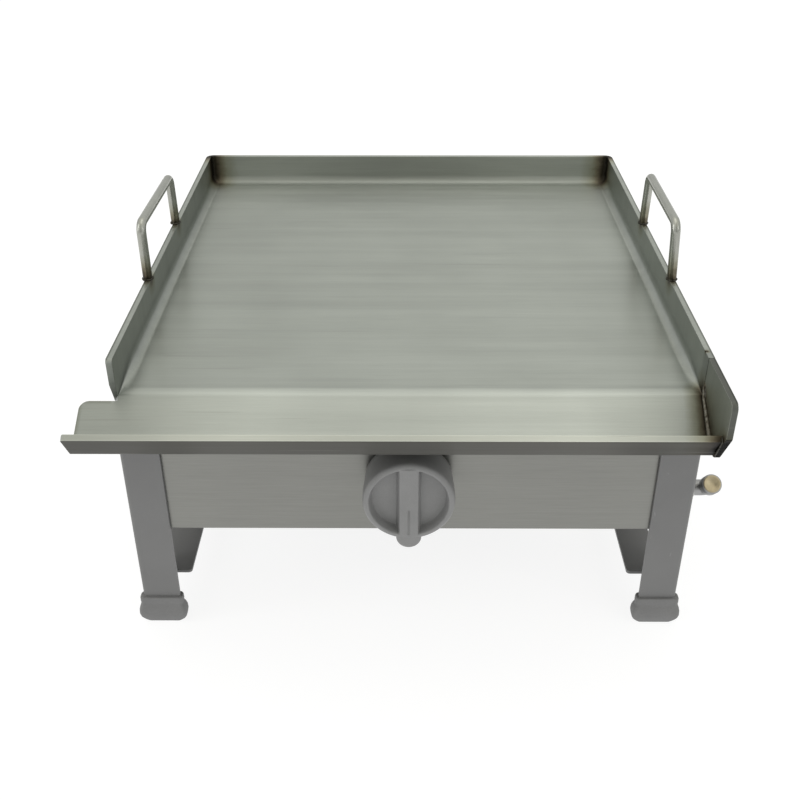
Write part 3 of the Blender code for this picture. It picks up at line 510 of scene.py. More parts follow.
# Welded seams in the griddle's own axes, as start, end and how fast their heat fades
SEAM_X = HALF_FLOOR
LIP_TOP = Vector((0.0, -FLANGE_RUN - LIP_RUN, LIP_RISE - FLANGE_DROP))
LIP_OUTWARD = Vector((0.0, -LIP_RISE, -LIP_RUN)).normalized()
LIP_MIDDLE = LIP_TOP + LIP_OUTWARD * SHEET / 2
LIP_FACE = LIP_TOP + LIP_OUTWARD * (SHEET + 0.002)
SEAMS = (
    ((SEAM_X + 0.0030, 0.002, 0.002), (SEAM_X + 0.0026, -0.008, -0.004), 1.0),
    ((SEAM_X + 0.0026, -0.008, -0.004), (SEAM_X, -FLANGE_RUN, -FLANGE_DROP), 1.0),
    ((SEAM_X + 0.0005, *LIP_MIDDLE.yz), (SEAM_X + 0.0015, *LIP_MIDDLE.yz), 3.4),
    ((SEAM_X + 0.0020, *LIP_FACE.yz), (SEAM_X + 0.0020, -FLANGE_RUN - 0.006, -FLANGE_DROP - 0.004), 0.62),
    ((HALF_FLOOR + 0.0002, 0.010, WALL_RISE), (HALF_FLOOR + 0.0012, 0.010, WALL_RISE), 5.5),
)


def heat_distance(t, here):
    """Distance to the nearest weld of the griddle, made uneven by noise and scaled by its heat."""
    mirrored = t.vector("ABSOLUTE", here)
    corner_foot, corner_top = (HALF_FLOOR, FLOOR_DEPTH, 0.004), (HALF_FLOOR, FLOOR_DEPTH, WALL_RISE)
    nearest = t.math("MULTIPLY", t.segment_distance(mirrored, corner_foot, corner_top), 0.62)
    for start, end, scale in SEAMS:
        nearest = t.math("MINIMUM", nearest, t.math("MULTIPLY", t.segment_distance(here, start, end), scale))
    for y in (HANDLE_FRONT, HANDLE_BACK):
        foot = t.segment_distance(mirrored, (WALL_MIDDLE, y, WALL_RISE), (WALL_MIDDLE, y, WALL_RISE + 0.002))
        nearest = t.math("MINIMUM", nearest, t.math("MULTIPLY", foot, 1.15))
    wander = t.noise(t.place(), scale=170.0, detail=2.0)
    return t.math("ADD", nearest, t.span(wander, 0.3, 0.7, -0.0007, 0.0007))


def painted_edge_light(t, here):
    """Painted light on the cut edges: a painted highlight along the lip edge between two brighter painted
    arris highlights, a painted shade line beside them, and painted shade on the wall rims' outer edges and
    along the tab's edges.
    """
    band = t.segment_distance(here, (-WIDTH, *LIP_MIDDLE.yz), (SEAM_X - 0.0015, *LIP_MIDDLE.yz))
    tone = t.ramp(t.span(band, 0.0, LIP_BAND_REACH), LIP_BAND_PAINTED_LIGHT)
    split = t.add("ShaderNodeSeparateXYZ", {0: t.vector("ABSOLUTE", here)}, 0)
    height = t.add("ShaderNodeSeparateXYZ", {0: here}, 2)
    outer = t.span(split, HALF_WIDTH - 0.0019, HALF_WIDTH - 0.0009, 0.0, 1.0)
    rim = t.math("MULTIPLY", outer, t.span(height, WALL_RISE - 0.0012, WALL_RISE - 0.0004, 0.0, 1.0))
    tone = t.mix(rim, tone, RIM_PAINTED_SHADE)
    left = -HALF_WIDTH - TAB_OVERHANG
    slope = Vector((0.0, -FLANGE_RUN, -FLANGE_DROP)).normalized()
    top, low = slope * TAB_START, slope * 0.040
    for start, end in (((left + 0.004, *top.yz), (-HALF_WIDTH - 0.001, *top.yz)),
                       ((left, *(top + slope * 0.004).yz), (left, *low.yz))):
        near = t.span(t.segment_distance(here, start, end), 0.0006, 0.0032, 1.0, 0.0)
        tone = t.mix(near, tone, TAB_EDGE_PAINTED_SHADE)
    return tone


def painted_reflection_and_shade(t, here, face, painted_wall_shade, edge):
    """Tones that stand in for the room's uneven reflection in the bends, the walls and the flange."""
    leaning = t.math("MULTIPLY", t.add("ShaderNodeSeparateXYZ", {0: face}, 1), -1.0)
    sideways = t.math("ABSOLUTE", t.add("ShaderNodeSeparateXYZ", {0: face}, 0))
    across = t.add("ShaderNodeSeparateXYZ", {0: t.vector("ABSOLUTE", here)}, 0)
    rightward = t.add("ShaderNodeSeparateXYZ", {0: here}, 0)
    behind = t.add("ShaderNodeSeparateXYZ", {0: here}, 1)
    # All of these tones are painted reflection and shade: brighter and darker bands by facing and by place.
    side = t.ramp(sideways, greys(((0.04, edge), (0.30, 0.78 * edge), (0.90, painted_wall_shade))))
    wall = t.mix(t.span(across, 0.02, 0.21), BACK_WALL_MIDDLE_TONE, BACK_WALL_TONE)
    back = t.ramp(leaning, BACK_BEND_TONES)
    back = t.tinted(back, t.span(behind, FLOOR_DEPTH - 0.045, FLOOR_DEPTH - 0.012, 1.0, 1.12))
    back = t.mix(t.span(leaning, 0.86, 0.98), back, wall)
    front = t.ramp(leaning, greys(FRONT_BEND_TONES))
    ends = t.ramp(t.span(across, 0.0, 1.0 / 3.0), greys(FLANGE_END_TONES, 1.0 / 3.0))
    front = t.mix(t.span(leaning, 0.04, 0.20), front, t.mix(1.0, front, ends, "MULTIPLY"))
    front = t.tinted(front, t.span(rightward, 0.13, HALF_FLOOR, 0.975, 0.77))
    tone = t.mix(t.span(behind, 0.009, 0.015, 1.0, 0.0), back, front)
    tone = t.tinted(tone, t.span(rightward, -0.05, 0.14, 1.0, 1.08))
    return t.mix(1.0, side, tone, "MULTIPLY")


def steel_plate(name, colour, underside_painted_shade, roughness, painted_wall_shade, edge=1.0, spread=0.018):
    """Brushed thick sheet: grain, rolled bands, faint scratches, heat tint by the welds, painted shade on
    faces that look downward and painted reflection, highlights and shade on its bends, walls, flange and cut
    edges.
    """
    t = Tree(name)
    here = t.vector("SUBTRACT", t.place(), tuple(DATUM))
    bands = brushed_layers(t, 1.5, 55.0)
    streaks = brushed_layers(t, 6.0, 300.0)
    fine = brushed_layers(t, 30.0, 2600.0, 2.0)
    cloud = t.noise(t.place(), scale=9.0, detail=3.0)
    tone = t.span(bands, 0.25, 0.75, 0.93, 1.07)
    tone = t.math("MULTIPLY", tone, t.span(streaks, 0.25, 0.75, 0.96, 1.04))
    tone = t.math("MULTIPLY", tone, t.span(fine, 0.25, 0.75, 0.93, 1.07))
    tone = t.math("MULTIPLY", tone, t.span(cloud, 0.3, 0.7, 0.95, 1.05))
    face = t.add("ShaderNodeNewGeometry", {}, "Normal")
    upward = t.add("ShaderNodeSeparateXYZ", {0: face}, 2)
    # Faces that look downward take the darker colour: painted shade that stands in for the dark ground the
    # lip face reflects.
    base = t.mix(t.span(upward, -0.25, -0.05, 1.0, 0.0), colour, underside_painted_shade)
    base = t.tinted(base, tone)
    # Painted reflection and shade on the bends, walls and flange, then painted highlights and shade on the
    # cut edges.
    base = t.mix(1.0, base, painted_reflection_and_shade(t, here, face, painted_wall_shade, edge), "MULTIPLY")
    base = t.mix(1.0, base, painted_edge_light(t, here), "MULTIPLY")
    heat = heat_distance(t, here)
    burn = t.ramp(t.span(heat, 0.0, spread), SHEET_HEAT)
    scratch = t.noise(t.place((9.0, 700.0, 700.0)), detail=1.0)
    scratched = t.span(scratch, 0.735, 0.76, 0.0, 0.35)
    base = t.mix(1.0, base, burn, "MULTIPLY")
    base = t.mix(scratched, base, SCRATCH_COLOUR)
    rough = t.math("ADD", t.span(streaks, 0.25, 0.75, roughness - 0.05, roughness + 0.05),
                   t.span(heat, 0.0, 0.004, 0.16, 0.0))
    rough = t.math("ADD", rough, t.span(fine, 0.3, 0.7, -0.03, 0.03))
    relief = t.bump(fine, 0.00003, 0.35)
    relief = t.bump(streaks, 0.00006, 0.25, relief)
    grooves = t.add("ShaderNodeCombineXYZ", {1: 1.0, 2: 0.4})
    return t.shade(Base_Color=base, Metallic=1.0, Roughness=rough, Anisotropic=0.75, Tangent=grooves,
                   Normal=relief)


def bar_steel(name, colour):
    """Drawn round bar, brighter than the plate, browned at its welded feet."""
    t = Tree(name)
    die = t.noise(t.place((500.0, 60.0, 60.0)), detail=3.0)
    cloud = t.noise(t.place(), scale=70.0, detail=4.0)
    height = t.add("ShaderNodeSeparateXYZ", {0: t.place()}, 2)
    wander = t.span(cloud, 0.3, 0.7, -0.004, 0.004)
    above = t.math("ADD", t.math("SUBTRACT", height, DATUM.z + WALL_RISE), wander)
    heat = t.ramp(t.span(above, 0.0, BAR_HEAT_REACH), BAR_HEAT)
    tone = t.math("MULTIPLY", t.span(die, 0.25, 0.75, 0.92, 1.08), t.span(cloud, 0.3, 0.7, 0.93, 1.07))
    base = t.mix(1.0, t.tinted(colour, tone), heat, "MULTIPLY")
    rough = t.span(cloud, 0.25, 0.75, 0.20, 0.32)
    return t.shade(Base_Color=base, Metallic=1.0, Roughness=rough, Normal=t.bump(die, 0.00004, 0.3))


def weld_metal(name, tone):
    """Bead surface: burnt olive grey in blotches, its tone set by how hot the weld ran."""
    t = Tree(name)
    blotch = t.noise(t.place(), scale=420.0, detail=4.0, rough=0.6)
    speck = t.noise(t.place(), scale=1500.0, detail=2.0)
    base = t.tinted(t.ramp(blotch, BEAD_COLOURS), tone)
    rough = t.span(blotch, 0.35, 0.7, 0.55, 0.34)
    return t.shade(Base_Color=base, Metallic=0.9, Roughness=rough, Normal=t.bump(speck, 0.00012, 0.5))


def panel_steel(name, colour, roughness):
    """Thin brushed sheet with level grain on every side."""
    t = Tree(name)
    bands = t.noise(t.place((1.2, 1.2, 42.0)), detail=3.0)
    streaks = t.noise(t.place((8.0, 8.0, 420.0)), detail=3.0, rough=0.6)
    fine = t.noise(t.place((40.0, 40.0, 3200.0)), detail=2.0)
    cloud = t.noise(t.place(), scale=7.0, detail=3.0)
    tone = t.math("MULTIPLY", t.span(bands, 0.25, 0.75, 0.97, 1.03), t.span(streaks, 0.25, 0.75, 0.95, 1.05))
    tone = t.math("MULTIPLY", tone, t.span(fine, 0.25, 0.75, 0.94, 1.06))
    tone = t.math("MULTIPLY", tone, t.span(cloud, 0.3, 0.7, 0.97, 1.03))
    rough = t.span(streaks, 0.25, 0.75, roughness - 0.05, roughness + 0.05)
    relief = t.bump(fine, 0.00003, 0.3)
    upright = t.add("ShaderNodeCombineXYZ", {2: 1.0})
    return t.shade(Base_Color=t.tinted(colour, tone), Metallic=1.0, Roughness=rough, Anisotropic=0.5,
                   Tangent=upright, Normal=relief)


def powder_paint(name, colour):
    """Satin powder coat: orange peel, slight tone changes and rubbed spots."""
    t = Tree(name)
    peel = t.noise(t.place(), scale=950.0, detail=2.0)
    cloud = t.noise(t.place(), scale=24.0, detail=4.0)
    rubbed = t.noise(t.place((1.0, 1.0, 0.25)), scale=180.0, detail=5.0, rough=0.7)
    tone = t.span(cloud, 0.3, 0.7, 0.94, 1.06)
    base = t.tinted(colour, tone)
    base = t.mix(t.span(rubbed, 0.66, 0.72, 0.0, 0.30), base, (0.36, 0.36, 0.36))
    rough = t.math("ADD", t.span(cloud, 0.3, 0.7, 0.48, 0.58), t.span(rubbed, 0.6, 0.72, 0.0, -0.08))
    return t.shade(Base_Color=base, Roughness=rough, Normal=t.bump(peel, 0.00008, 0.35))


def moulded(name, colour, roughness, grain, grain_depth):
    """Moulded rubber or plastic: fine spark-eroded grain and a dusty bloom in patches."""
    t = Tree(name)
    texture = t.noise(t.place(), scale=grain, detail=3.0, rough=0.65)
    cloud = t.noise(t.place(), scale=45.0, detail=4.0)
    tone = t.math("MULTIPLY", t.span(cloud, 0.3, 0.7, 0.93, 1.07), t.span(texture, 0.3, 0.7, 0.95, 1.05))
    rough = t.span(cloud, 0.3, 0.7, roughness - 0.05, roughness + 0.05)
    relief = t.bump(texture, grain_depth, 0.5)
    return t.shade(Base_Color=t.tinted(colour, tone), Roughness=rough, Normal=relief)


def turned_metal(name, colour, roughness, pitch=0.0):
    """Machined metal: fine tool marks and a slightly dull, fingered surface."""
    t = Tree(name)
    cloud = t.noise(t.place(), scale=160.0, detail=4.0)
    fleck = t.noise(t.place(), scale=1400.0, detail=2.0)
    tone = t.math("MULTIPLY", t.span(cloud, 0.3, 0.7, 0.90, 1.08), t.span(fleck, 0.3, 0.7, 0.96, 1.04))
    relief = t.bump(fleck, 0.00004, 0.3)
    if pitch:
        here = t.vector("MULTIPLY", t.place(), (1.0, 1.0, 0.0))
        radius = t.vector("LENGTH", here, out="Value")
        marks = t.math("SINE", t.math("MULTIPLY", radius, math.tau / pitch))
        relief = t.bump(marks, 0.00002, 0.5, relief)
    rough = t.span(cloud, 0.3, 0.7, roughness - 0.05, roughness + 0.08)
    return t.shade(Base_Color=t.tinted(colour, tone), Metallic=1.0, Roughness=rough, Normal=relief)


def cast_iron(name):
    """Sand cast iron with a coarse skin and a little rust bloom."""
    t = Tree(name)
    sand = t.noise(t.place(), scale=900.0, detail=4.0, rough=0.7)
    lumps = t.noise(t.place(), scale=140.0, detail=3.0)
    rust = t.noise(t.place(), scale=55.0, detail=5.0, rough=0.65)
    base = t.mix(t.span(rust, 0.56, 0.72, 0.0, 0.6), (0.055, 0.055, 0.058), (0.16, 0.075, 0.04))
    base = t.tinted(base, t.span(sand, 0.3, 0.7, 0.8, 1.2))
    relief = t.bump(lumps, 0.0006, 0.3, t.bump(sand, 0.0003, 0.5))
    return t.shade(Base_Color=base, Metallic=0.55, Roughness=t.span(rust, 0.4, 0.7, 0.6, 0.85), Normal=relief)


def glazed(name):
    """White glazed ceramic, sooted towards its tip."""
    t = Tree(name)
    cloud = t.noise(t.place(), scale=200.0, detail=4.0)
    height = t.add("ShaderNodeSeparateXYZ", {0: t.place()}, 2)
    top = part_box("igniter_electrode")[1].z
    sooted = t.span(height, top - 0.020, top - 0.008, 0.0, 0.9)
    soot = t.math("ADD", sooted, t.span(cloud, 0.4, 0.7, -0.2, 0.3))
    base = t.mix(t.math("MINIMUM", soot, 1.0, clamp=True), (0.82, 0.80, 0.76), (0.06, 0.055, 0.05))
    rough = t.span(cloud, 0.3, 0.7, 0.15, 0.3)
    return t.shade(Base_Color=base, Roughness=rough, Normal=t.bump(cloud, 0.0001, 0.2))


# Each plate's second colour is painted shade on its downward faces, the number after the roughness is painted
# shade on its walls, and edge=0.44 paints shade on the end plate's cut edges.
STEEL = steel_plate("griddle_brushed_steel", (0.388, 0.409, 0.378), (0.096, 0.095, 0.085), 0.40, 0.87)
END_STEEL = steel_plate("end_plate_brushed_steel", (0.385, 0.400, 0.360), (0.070, 0.070, 0.066), 0.42, 0.98,
                        edge=0.44, spread=0.0085)
BAR = bar_steel("handle_bar_steel", (0.36, 0.365, 0.33))
WELD = weld_metal("weld_bead_metal", 0.90)
BURNT = weld_metal("burnt_weld_metal", 0.36)
PANEL = panel_steel("panel_brushed_steel", (0.255, 0.256, 0.240), 0.40)
PAINT = powder_paint("leg_powder_paint", (0.167, 0.167, 0.167))
RUBBER = moulded("foot_moulded_rubber", (0.182, 0.182, 0.182), 0.72, 700.0, 0.00015)
PLASTIC = moulded("knob_moulded_plastic", (0.225, 0.225, 0.225), 0.45, 1300.0, 0.00005)
SLEEVE = moulded("lead_sleeve_rubber", (0.05, 0.05, 0.05), 0.5, 900.0, 0.00005)
BRASS = turned_metal("turned_brass", (0.44, 0.375, 0.25), 0.36, 0.0006)
ZINC = turned_metal("zinc_plated_steel", (0.60, 0.60, 0.58), 0.30)
DULL = turned_metal("dull_grey_steel", (0.36, 0.36, 0.36), 0.45)
IRON = cast_iron("sand_cast_iron")
CERAMIC = glazed("glazed_ceramic")


# ---------------------------------------------------------------- griddle

def bend_weight(radius, turn):
    """A bend's bevel weight: its tangent length as a share of the wall bends' 90 degree one."""
    return radius * math.tan(turn / 2) / WALL_BEND


def griddle_surface():
    """The inside face of the whole griddle plate, drawn with sharp bends and weighted for rounding."""
    bm = bmesh.new()
    bmesh.ops.create_grid(bm, x_segments=1, y_segments=1, size=0.5)
    bmesh.ops.scale(bm, verts=bm.verts, vec=(2 * HALF_FLOOR, FLOOR_DEPTH, 1.0))
    bmesh.ops.translate(bm, verts=bm.verts, vec=(0.0, FLOOR_DEPTH / 2, 0.0))
    front = [edge for edge in bm.edges if max(v.co.y for v in edge.verts) < 0.001]
    walls = [edge for edge in bm.edges if edge not in front]
    step = WALL_BEND + 0.0005
    low = grown_points(bm, walls, (0.0, 0.0, step))
    rims = [edge for edge in bm.edges if all(v in low for v in edge.verts)]
    high = grown_points(bm, rims, (0.0, 0.0, WALL_RISE - step))
    for vert in low + high:
        if vert.co.x < 0 and vert.co.y < 0.001:
            vert.co.y -= LEFT_WALL_RUN_OUT
    wall_end = min((vert for vert in high if vert.co.x < 0), key=lambda vert: vert.co.y)
    bmesh.ops.bevel(bm, geom=[wall_end], offset=WALL_END_CORNER, segments=6, profile=0.5, affect="VERTICES")
    slope = math.hypot(FLANGE_RUN, FLANGE_DROP)
    down = Vector((0.0, -FLANGE_RUN, -FLANGE_DROP)) / slope
    shelf = grown_points(bm, front, down * TAB_START)
    trough = grown_points(bm, [bm.edges.get(shelf)], down * (slope - TAB_START))
    edge_top = grown_points(bm, [bm.edges.get(trough)], Vector((0.0, -LIP_RUN, LIP_RISE)))
    left = [min(line, key=lambda v: v.co.x) for line in (shelf, trough, edge_top)]
    sides = [bm.edges.get(pair) for pair in zip(left, left[1:])]
    tab = sorted(grown_points(bm, sides, (-TAB_OVERHANG - SHEET, 0.0, 0.0)), key=lambda v: -v.co.y)
    bmesh.ops.bevel(bm, geom=[tab[0]], offset=TAB_CORNER, segments=10, profile=0.5, affect="VERTICES")
    bmesh.ops.bevel(bm, geom=[tab[-1]], offset=LIP_CORNER, segments=6, profile=0.5, affect="VERTICES")
    for y in WALL_CUTS:
        bmesh.ops.bisect_plane(bm, geom=bm.verts[:] + bm.edges[:] + bm.faces[:], plane_co=(0.0, y, 0.0),
                               plane_no=(0.0, 1.0, 0.0))
    weight = bm.edges.layers.float.new("bevel_weight_edge")
    flange_turn = math.atan2(FLANGE_DROP, FLANGE_RUN)
    trough_turn = flange_turn + math.atan2(LIP_RISE, LIP_RUN)
    for edge in bm.edges:
        if len(edge.link_faces) != 2 or edge.calc_face_angle() < math.radians(5):
            continue
        middle = (edge.verts[0].co + edge.verts[1].co) / 2
        if middle.y < -FLANGE_RUN / 2:
            edge[weight] = bend_weight(TROUGH_BEND, trough_turn)
        elif middle.y < 0.001:
            edge[weight] = bend_weight(FRONT_BEND, flange_turn)
        elif middle.z > 0.001:
            edge[weight] = bend_weight(CORNER_BEND, math.pi / 2)
        else:
            edge[weight] = 1.0
    bmesh.ops.recalc_face_normals(bm, faces=bm.faces)
    if sum(face.normal.z * face.calc_area() for face in bm.faces) < 0:
        bmesh.ops.reverse_faces(bm, faces=bm.faces)
    bmesh.ops.translate(bm, verts=bm.verts, vec=DATUM)
    return bm


def build_griddle():
    plate = mesh_piece("griddle_sheet", griddle_surface())
    bend = plate.modifiers.new("bends", "BEVEL")
    bend.limit_method = "WEIGHT"
    bend.width = WALL_BEND
    bend.segments = 12
    bend.use_clamp_overlap = False
    thickened(plate, SHEET, -1.0)
    bevelled(plate, EDGE_BREAK, 3, 50)
    flat_shaded_flats(plate)
    show(plate, STEEL, "griddle", "griddle_steel", "griddle_plate")


def build_end_plate():
    """The welded plate that closes the trough at the right, from corners of (depth, height)."""
    corners = [(-GAP, WALL_RISE), (FRONT_END, WALL_RISE), (FRONT_END, 0.0010), (-0.0470, -0.0285),
               (-0.0065, -0.0085), (-0.0065, 0.0040), (-GAP, 0.0105)]
    radii = [0.0, 0.006, 0.004, 0.005, 0.0, 0.0, 0.0]
    points = []
    for i, (corner, radius) in enumerate(zip(corners, radii)):
        if radius:
            rounded = fillet(corners[i - 1], corner, corners[(i + 1) % len(corners)], radius, 10)
            points += [tuple(point) for point in rounded]
        else:
            points.append(corner)
    thickness = SHEET - GAP
    plate = plate_from_outline("trough_end", points, thickness)
    turn = Matrix(((0, 0, 1, 0), (1, 0, 0, 0), (0, 1, 0, 0), (0, 0, 0, 1)))
    middle = DATUM + Vector((HALF_WIDTH - thickness / 2, 0.0, 0.0))
    plate.data.transform(Matrix.Translation(middle) @ turn)
    bevelled(plate, EDGE_BREAK, 3)
    flat_shaded_flats(plate)
    show(plate, END_STEEL, "griddle", "griddle_steel", "trough_end_plate")


def build_handles():
    for name, shape in HANDLES.items():
        front_foot = Vector((shape["foot_x"], HANDLE_FRONT, WALL_RISE - 0.0002))
        rear_foot = Vector((shape["foot_x"], HANDLE_BACK, WALL_RISE - 0.0002))
        front_top = Vector((shape["foot_x"], HANDLE_FRONT, HANDLE_TOP)) + Vector(shape["front_lean"])
        rear_top = Vector((shape["foot_x"], HANDLE_BACK, HANDLE_TOP)) + Vector(shape["rear_lean"])
        route = smooth_path([front_foot, front_top, rear_top, rear_foot], HANDLE_BEND, 14)
        bar = bar_curve(f"handle_bar_{name}", [DATUM + point for point in route], HANDLE_ROD, 10)
        show(bar, BAR, "griddle", "handle_steel", f"handle_{name}")
        for where, foot in (("front", front_foot), ("rear", rear_foot)):
            around = arc((0.0, 0.0), HANDLE_ROD - 0.0001, 0, 348, 29)
            ring = [DATUM + foot + Vector((px, py, 0.0006)) for px, py in around]
            bead = weld_bead(f"weld_handle_{name}_{where}", ring, 0.0010, closed=True, uneven=0.55)
            show(bead, BURNT, "griddle", "griddle_steel")


def build_seam_beads():
    """A fillet bead that widens down the trough's closed end, and a thin one round the end of the lip."""
    x = HALF_FLOOR - 0.0004
    inner = [(x + 0.0006, 0.0, 0.006), (x, -0.0060, -0.0012), (x, -FLANGE_RUN + 0.001, -FLANGE_DROP + 0.0008)]
    route = [DATUM + Vector(point) for point in inner]
    bead = weld_bead("weld_trough_seam", route, 0.0010, uneven=0.10, growth=2.3)
    show(bead, WELD, "griddle", "griddle_steel")
    lip_x = HALF_FLOOR - 0.0001
    low_corner = LIP_TOP + LIP_OUTWARD * SHEET
    front = [(lip_x, *(LIP_TOP + LIP_OUTWARD * 0.0008).yz), (lip_x, *low_corner.yz),
             (lip_x, -FLANGE_RUN - 0.0078, -FLANGE_DROP - 0.0010)]
    bead = weld_bead("weld_lip_end", [DATUM + Vector(point) for point in front], 0.0006)
    show(bead, BURNT, "griddle", "griddle_steel")


# ---------------------------------------------------------------- stand

def refined(node, material, width=0.0004, angle=35):
    """A CAD node kept in place: its seams merged, its edges broken and its shading weighted."""
    obj = frame["nodes"][node]
    custom = obj.data.attributes.get("custom_normal")
    if custom:
        obj.data.attributes.remove(custom)
    obj.data.shade_smooth()
    weld = obj.modifiers.new("merge", "WELD")
    weld.merge_threshold = 0.00001
    flat = obj.modifiers.new("flats", "DECIMATE")
    flat.decimate_type = "DISSOLVE"
    flat.angle_limit = math.radians(0.8)
    if width:
        bevelled(obj, width, 2, angle)
    flat_shaded_flats(obj)
    obj.data.materials.clear()
    obj.data.materials.append(material)
    return obj


# The moulded boot, as height, half width and half depth
BOOT_LEVELS = (
    (0.0, 0.0155, 0.0036), (0.0010, 0.0168, 0.0040), (0.0030, 0.0187, 0.0048), (0.0060, 0.0201, 0.0062),
    (0.0095, 0.0207, 0.0070), (0.0135, 0.0205, 0.0068), (0.0165, 0.0198, 0.0061), (0.0185, 0.0190, 0.0054),
    (0.0198, 0.0186, 0.0050), (0.0212, 0.0185, 0.0049), (0.0225, 0.0187, 0.0051), (0.0262, 0.0186, 0.0050),
    (0.0271, 0.0183, 0.0047), (0.0275, 0.0176, 0.0041),
)
BOOT_CORNER = 0.0035


def boot_ring(middle, height, half_x, half_y):
    """A rounded rectangle round the boot at one height."""
    ring = []
    for quarter, (sx, sy) in enumerate(((1, 1), (-1, 1), (-1, -1), (1, -1))):
        centre = (middle.x + sx * (half_x - BOOT_CORNER), middle.y + sy * (half_y - BOOT_CORNER))
        round_off = arc(centre, BOOT_CORNER, 90 * quarter, 90 * quarter + 90, 10)
        ring += [(px, py, height) for px, py in round_off]
    return ring


def build_feet():
    """Flat barrel-shaped moulded boots, with a collar and a waist under it."""
    for x_word in ("left", "right"):
        for y_word in ("front", "rear"):
            node = f"foot_{y_word}_{x_word}"
            low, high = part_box(node)
            middle = (low + high) / 2
            rings = [boot_ring(middle, *level) for level in BOOT_LEVELS]
            boot = closed_piece(f"rubber_boot_{y_word}_{x_word}", lofted(rings))
            flat_shaded_flats(boot)
            show(boot, RUBBER, "stand", "foot_rubber", node)


def build_frame_parts():
    for x_word in ("left", "right"):
        for y_word in ("front", "rear"):
            refined(f"leg_{y_word}_{x_word}", PAINT, 0.0005)
        refined(f"side_rail_{x_word}", PAINT, 0.0005)
        refined(f"side_panel_{x_word}", PANEL, 0.0003)
    for side in ("front", "back"):
        refined(f"{side}_panel", PANEL, 0.0003)


HEAD_RADIUS = 0.0040
HEAD_HEIGHT = 0.0021
CAD_HEAD_HEIGHT = 0.0022
SHANK_RADIUS = 0.0018
SHANK_LENGTH = 0.004
RECESS_LENGTH = 0.0042
RECESS_WIDTH = 0.0009
RECESS_DEPTH = 0.0011


def screw_mesh(name, recess):
    """A pan head with a cross recess, or a plain domed rivet head, standing on z = 0."""
    dome = [(0.0, HEAD_HEIGHT)]
    for i in range(1, 9):
        angle = math.pi / 2 * i / 9
        dome.append((HEAD_RADIUS * math.sin(angle), HEAD_HEIGHT * (0.35 + 0.65 * math.cos(angle))))
    rim = [(HEAD_RADIUS, HEAD_HEIGHT * 0.30), (HEAD_RADIUS * 0.985, 0.0)]
    shank = [(SHANK_RADIUS, 0.0), (SHANK_RADIUS, -SHANK_LENGTH), (0.0, -SHANK_LENGTH)]
    profile = dome + rim + shank
    head = closed_piece(name, turned(profile, 40))
    if not recess:
        return head
    for turn in (0, 1):
        bm = bmesh.new()
        bmesh.ops.create_cube(bm, size=1.0)
        bmesh.ops.scale(bm, verts=bm.verts, vec=(RECESS_LENGTH, RECESS_WIDTH, 2 * RECESS_DEPTH))
        bmesh.ops.translate(bm, verts=bm.verts, vec=(0.0, 0.0, HEAD_HEIGHT))
        quarter_turn = Matrix.Rotation(turn * math.pi / 2, 3, "Z")
        bmesh.ops.rotate(bm, verts=bm.verts, cent=(0, 0, 0), matrix=quarter_turn)
        slot = closed_piece(f"{name}_slot", bm)
        boolean(head, slot, "DIFFERENCE")
        applied(head)
        bpy.data.objects.remove(slot)
    return head


def build_fasteners():
    """Screw and rivet heads on the faces where the CAD has them, each turned to its own angle."""
    heads = {
        "panel_screw": screw_mesh("screw_pattern", True),
        "rail_rivet": screw_mesh("rivet_pattern", False),
    }
    for node in sorted(frame["nodes"]):
        kind = next((kind for kind in heads if node.startswith(kind)), None)
        if kind is None:
            continue
        low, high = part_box(node)
        outward = -1 if "left" in node else 1
        face = (low.x + CAD_HEAD_HEIGHT) if outward < 0 else (high.x - CAD_HEAD_HEIGHT)
        name = node.replace(kind, kind.split("_")[1] + "_head")
        head = link(bpy.data.objects.new(name, heads[kind].data))
        head.location = (face, (low.y + high.y) / 2, (low.z + high.z) / 2)
        spin = Matrix.Rotation(math.radians(len(node) * 37 % 90), 3, "Z")
        head.rotation_euler = (Matrix.Rotation(outward * math.pi / 2, 3, "Y") @ spin).to_euler()
        show(head, ZINC, "stand", "plated_steel", node)
    for pattern in heads.values():
        bpy.data.objects.remove(pattern)


# ---------------------------------------------------------------- knob and gas parts

def smoothstep(value):
    value = min(1.0, max(0.0, value))
    return value * value * (3 - 2 * value)


KNOB_LOW, KNOB_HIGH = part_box("knob")
KNOB_RADIUS = (KNOB_HIGH.x - KNOB_LOW.x) / 2
KNOB_MIDDLE = Vector(((KNOB_LOW.x + KNOB_HIGH.x) / 2, KNOB_HIGH.y, KNOB_HIGH.z - KNOB_RADIUS))
KNOB_DEPTH = KNOB_HIGH.y - KNOB_LOW.y
KNOB_EDGE = 0.004
KNOB_RIM = 0.0045
HOLLOW_DEPTH = 0.0090
HOLLOW_SLOPE = 0.0030
GRIP_HALF = 0.0075
GROOVE_DEPTH = 0.0009
LUG_RADIUS = 0.010
LUG_EDGE = 0.0028
LUG_DROP = KNOB_HIGH.z - KNOB_LOW.z - KNOB_RADIUS - LUG_RADIUS


def knob_front(x, up, radius):
    """Height of the knob's front: a round rim, two hollows and a grip bar with a pointer groove."""
    height = KNOB_DEPTH
    over = radius - (KNOB_RADIUS - KNOB_EDGE)
    if over > 0:
        height -= KNOB_EDGE - math.sqrt(max(0.0, KNOB_EDGE * KNOB_EDGE - over * over))
    inside = min(KNOB_RADIUS - KNOB_RIM - radius, abs(x) - 0.0070)
    height -= HOLLOW_DEPTH * smoothstep(inside / HOLLOW_SLOPE)
    crown = 0.0008 * smoothstep((GRIP_HALF - abs(x)) / GRIP_HALF)
    groove = smoothstep((0.0010 - abs(x)) / 0.0006) * smoothstep((-up - 0.006) / 0.001)
    groove *= smoothstep((KNOB_RADIUS - 0.0055 + up) / 0.001)
    return height - 0.0006 + crown * (radius < KNOB_RADIUS - KNOB_EDGE) - GROOVE_DEPTH * groove


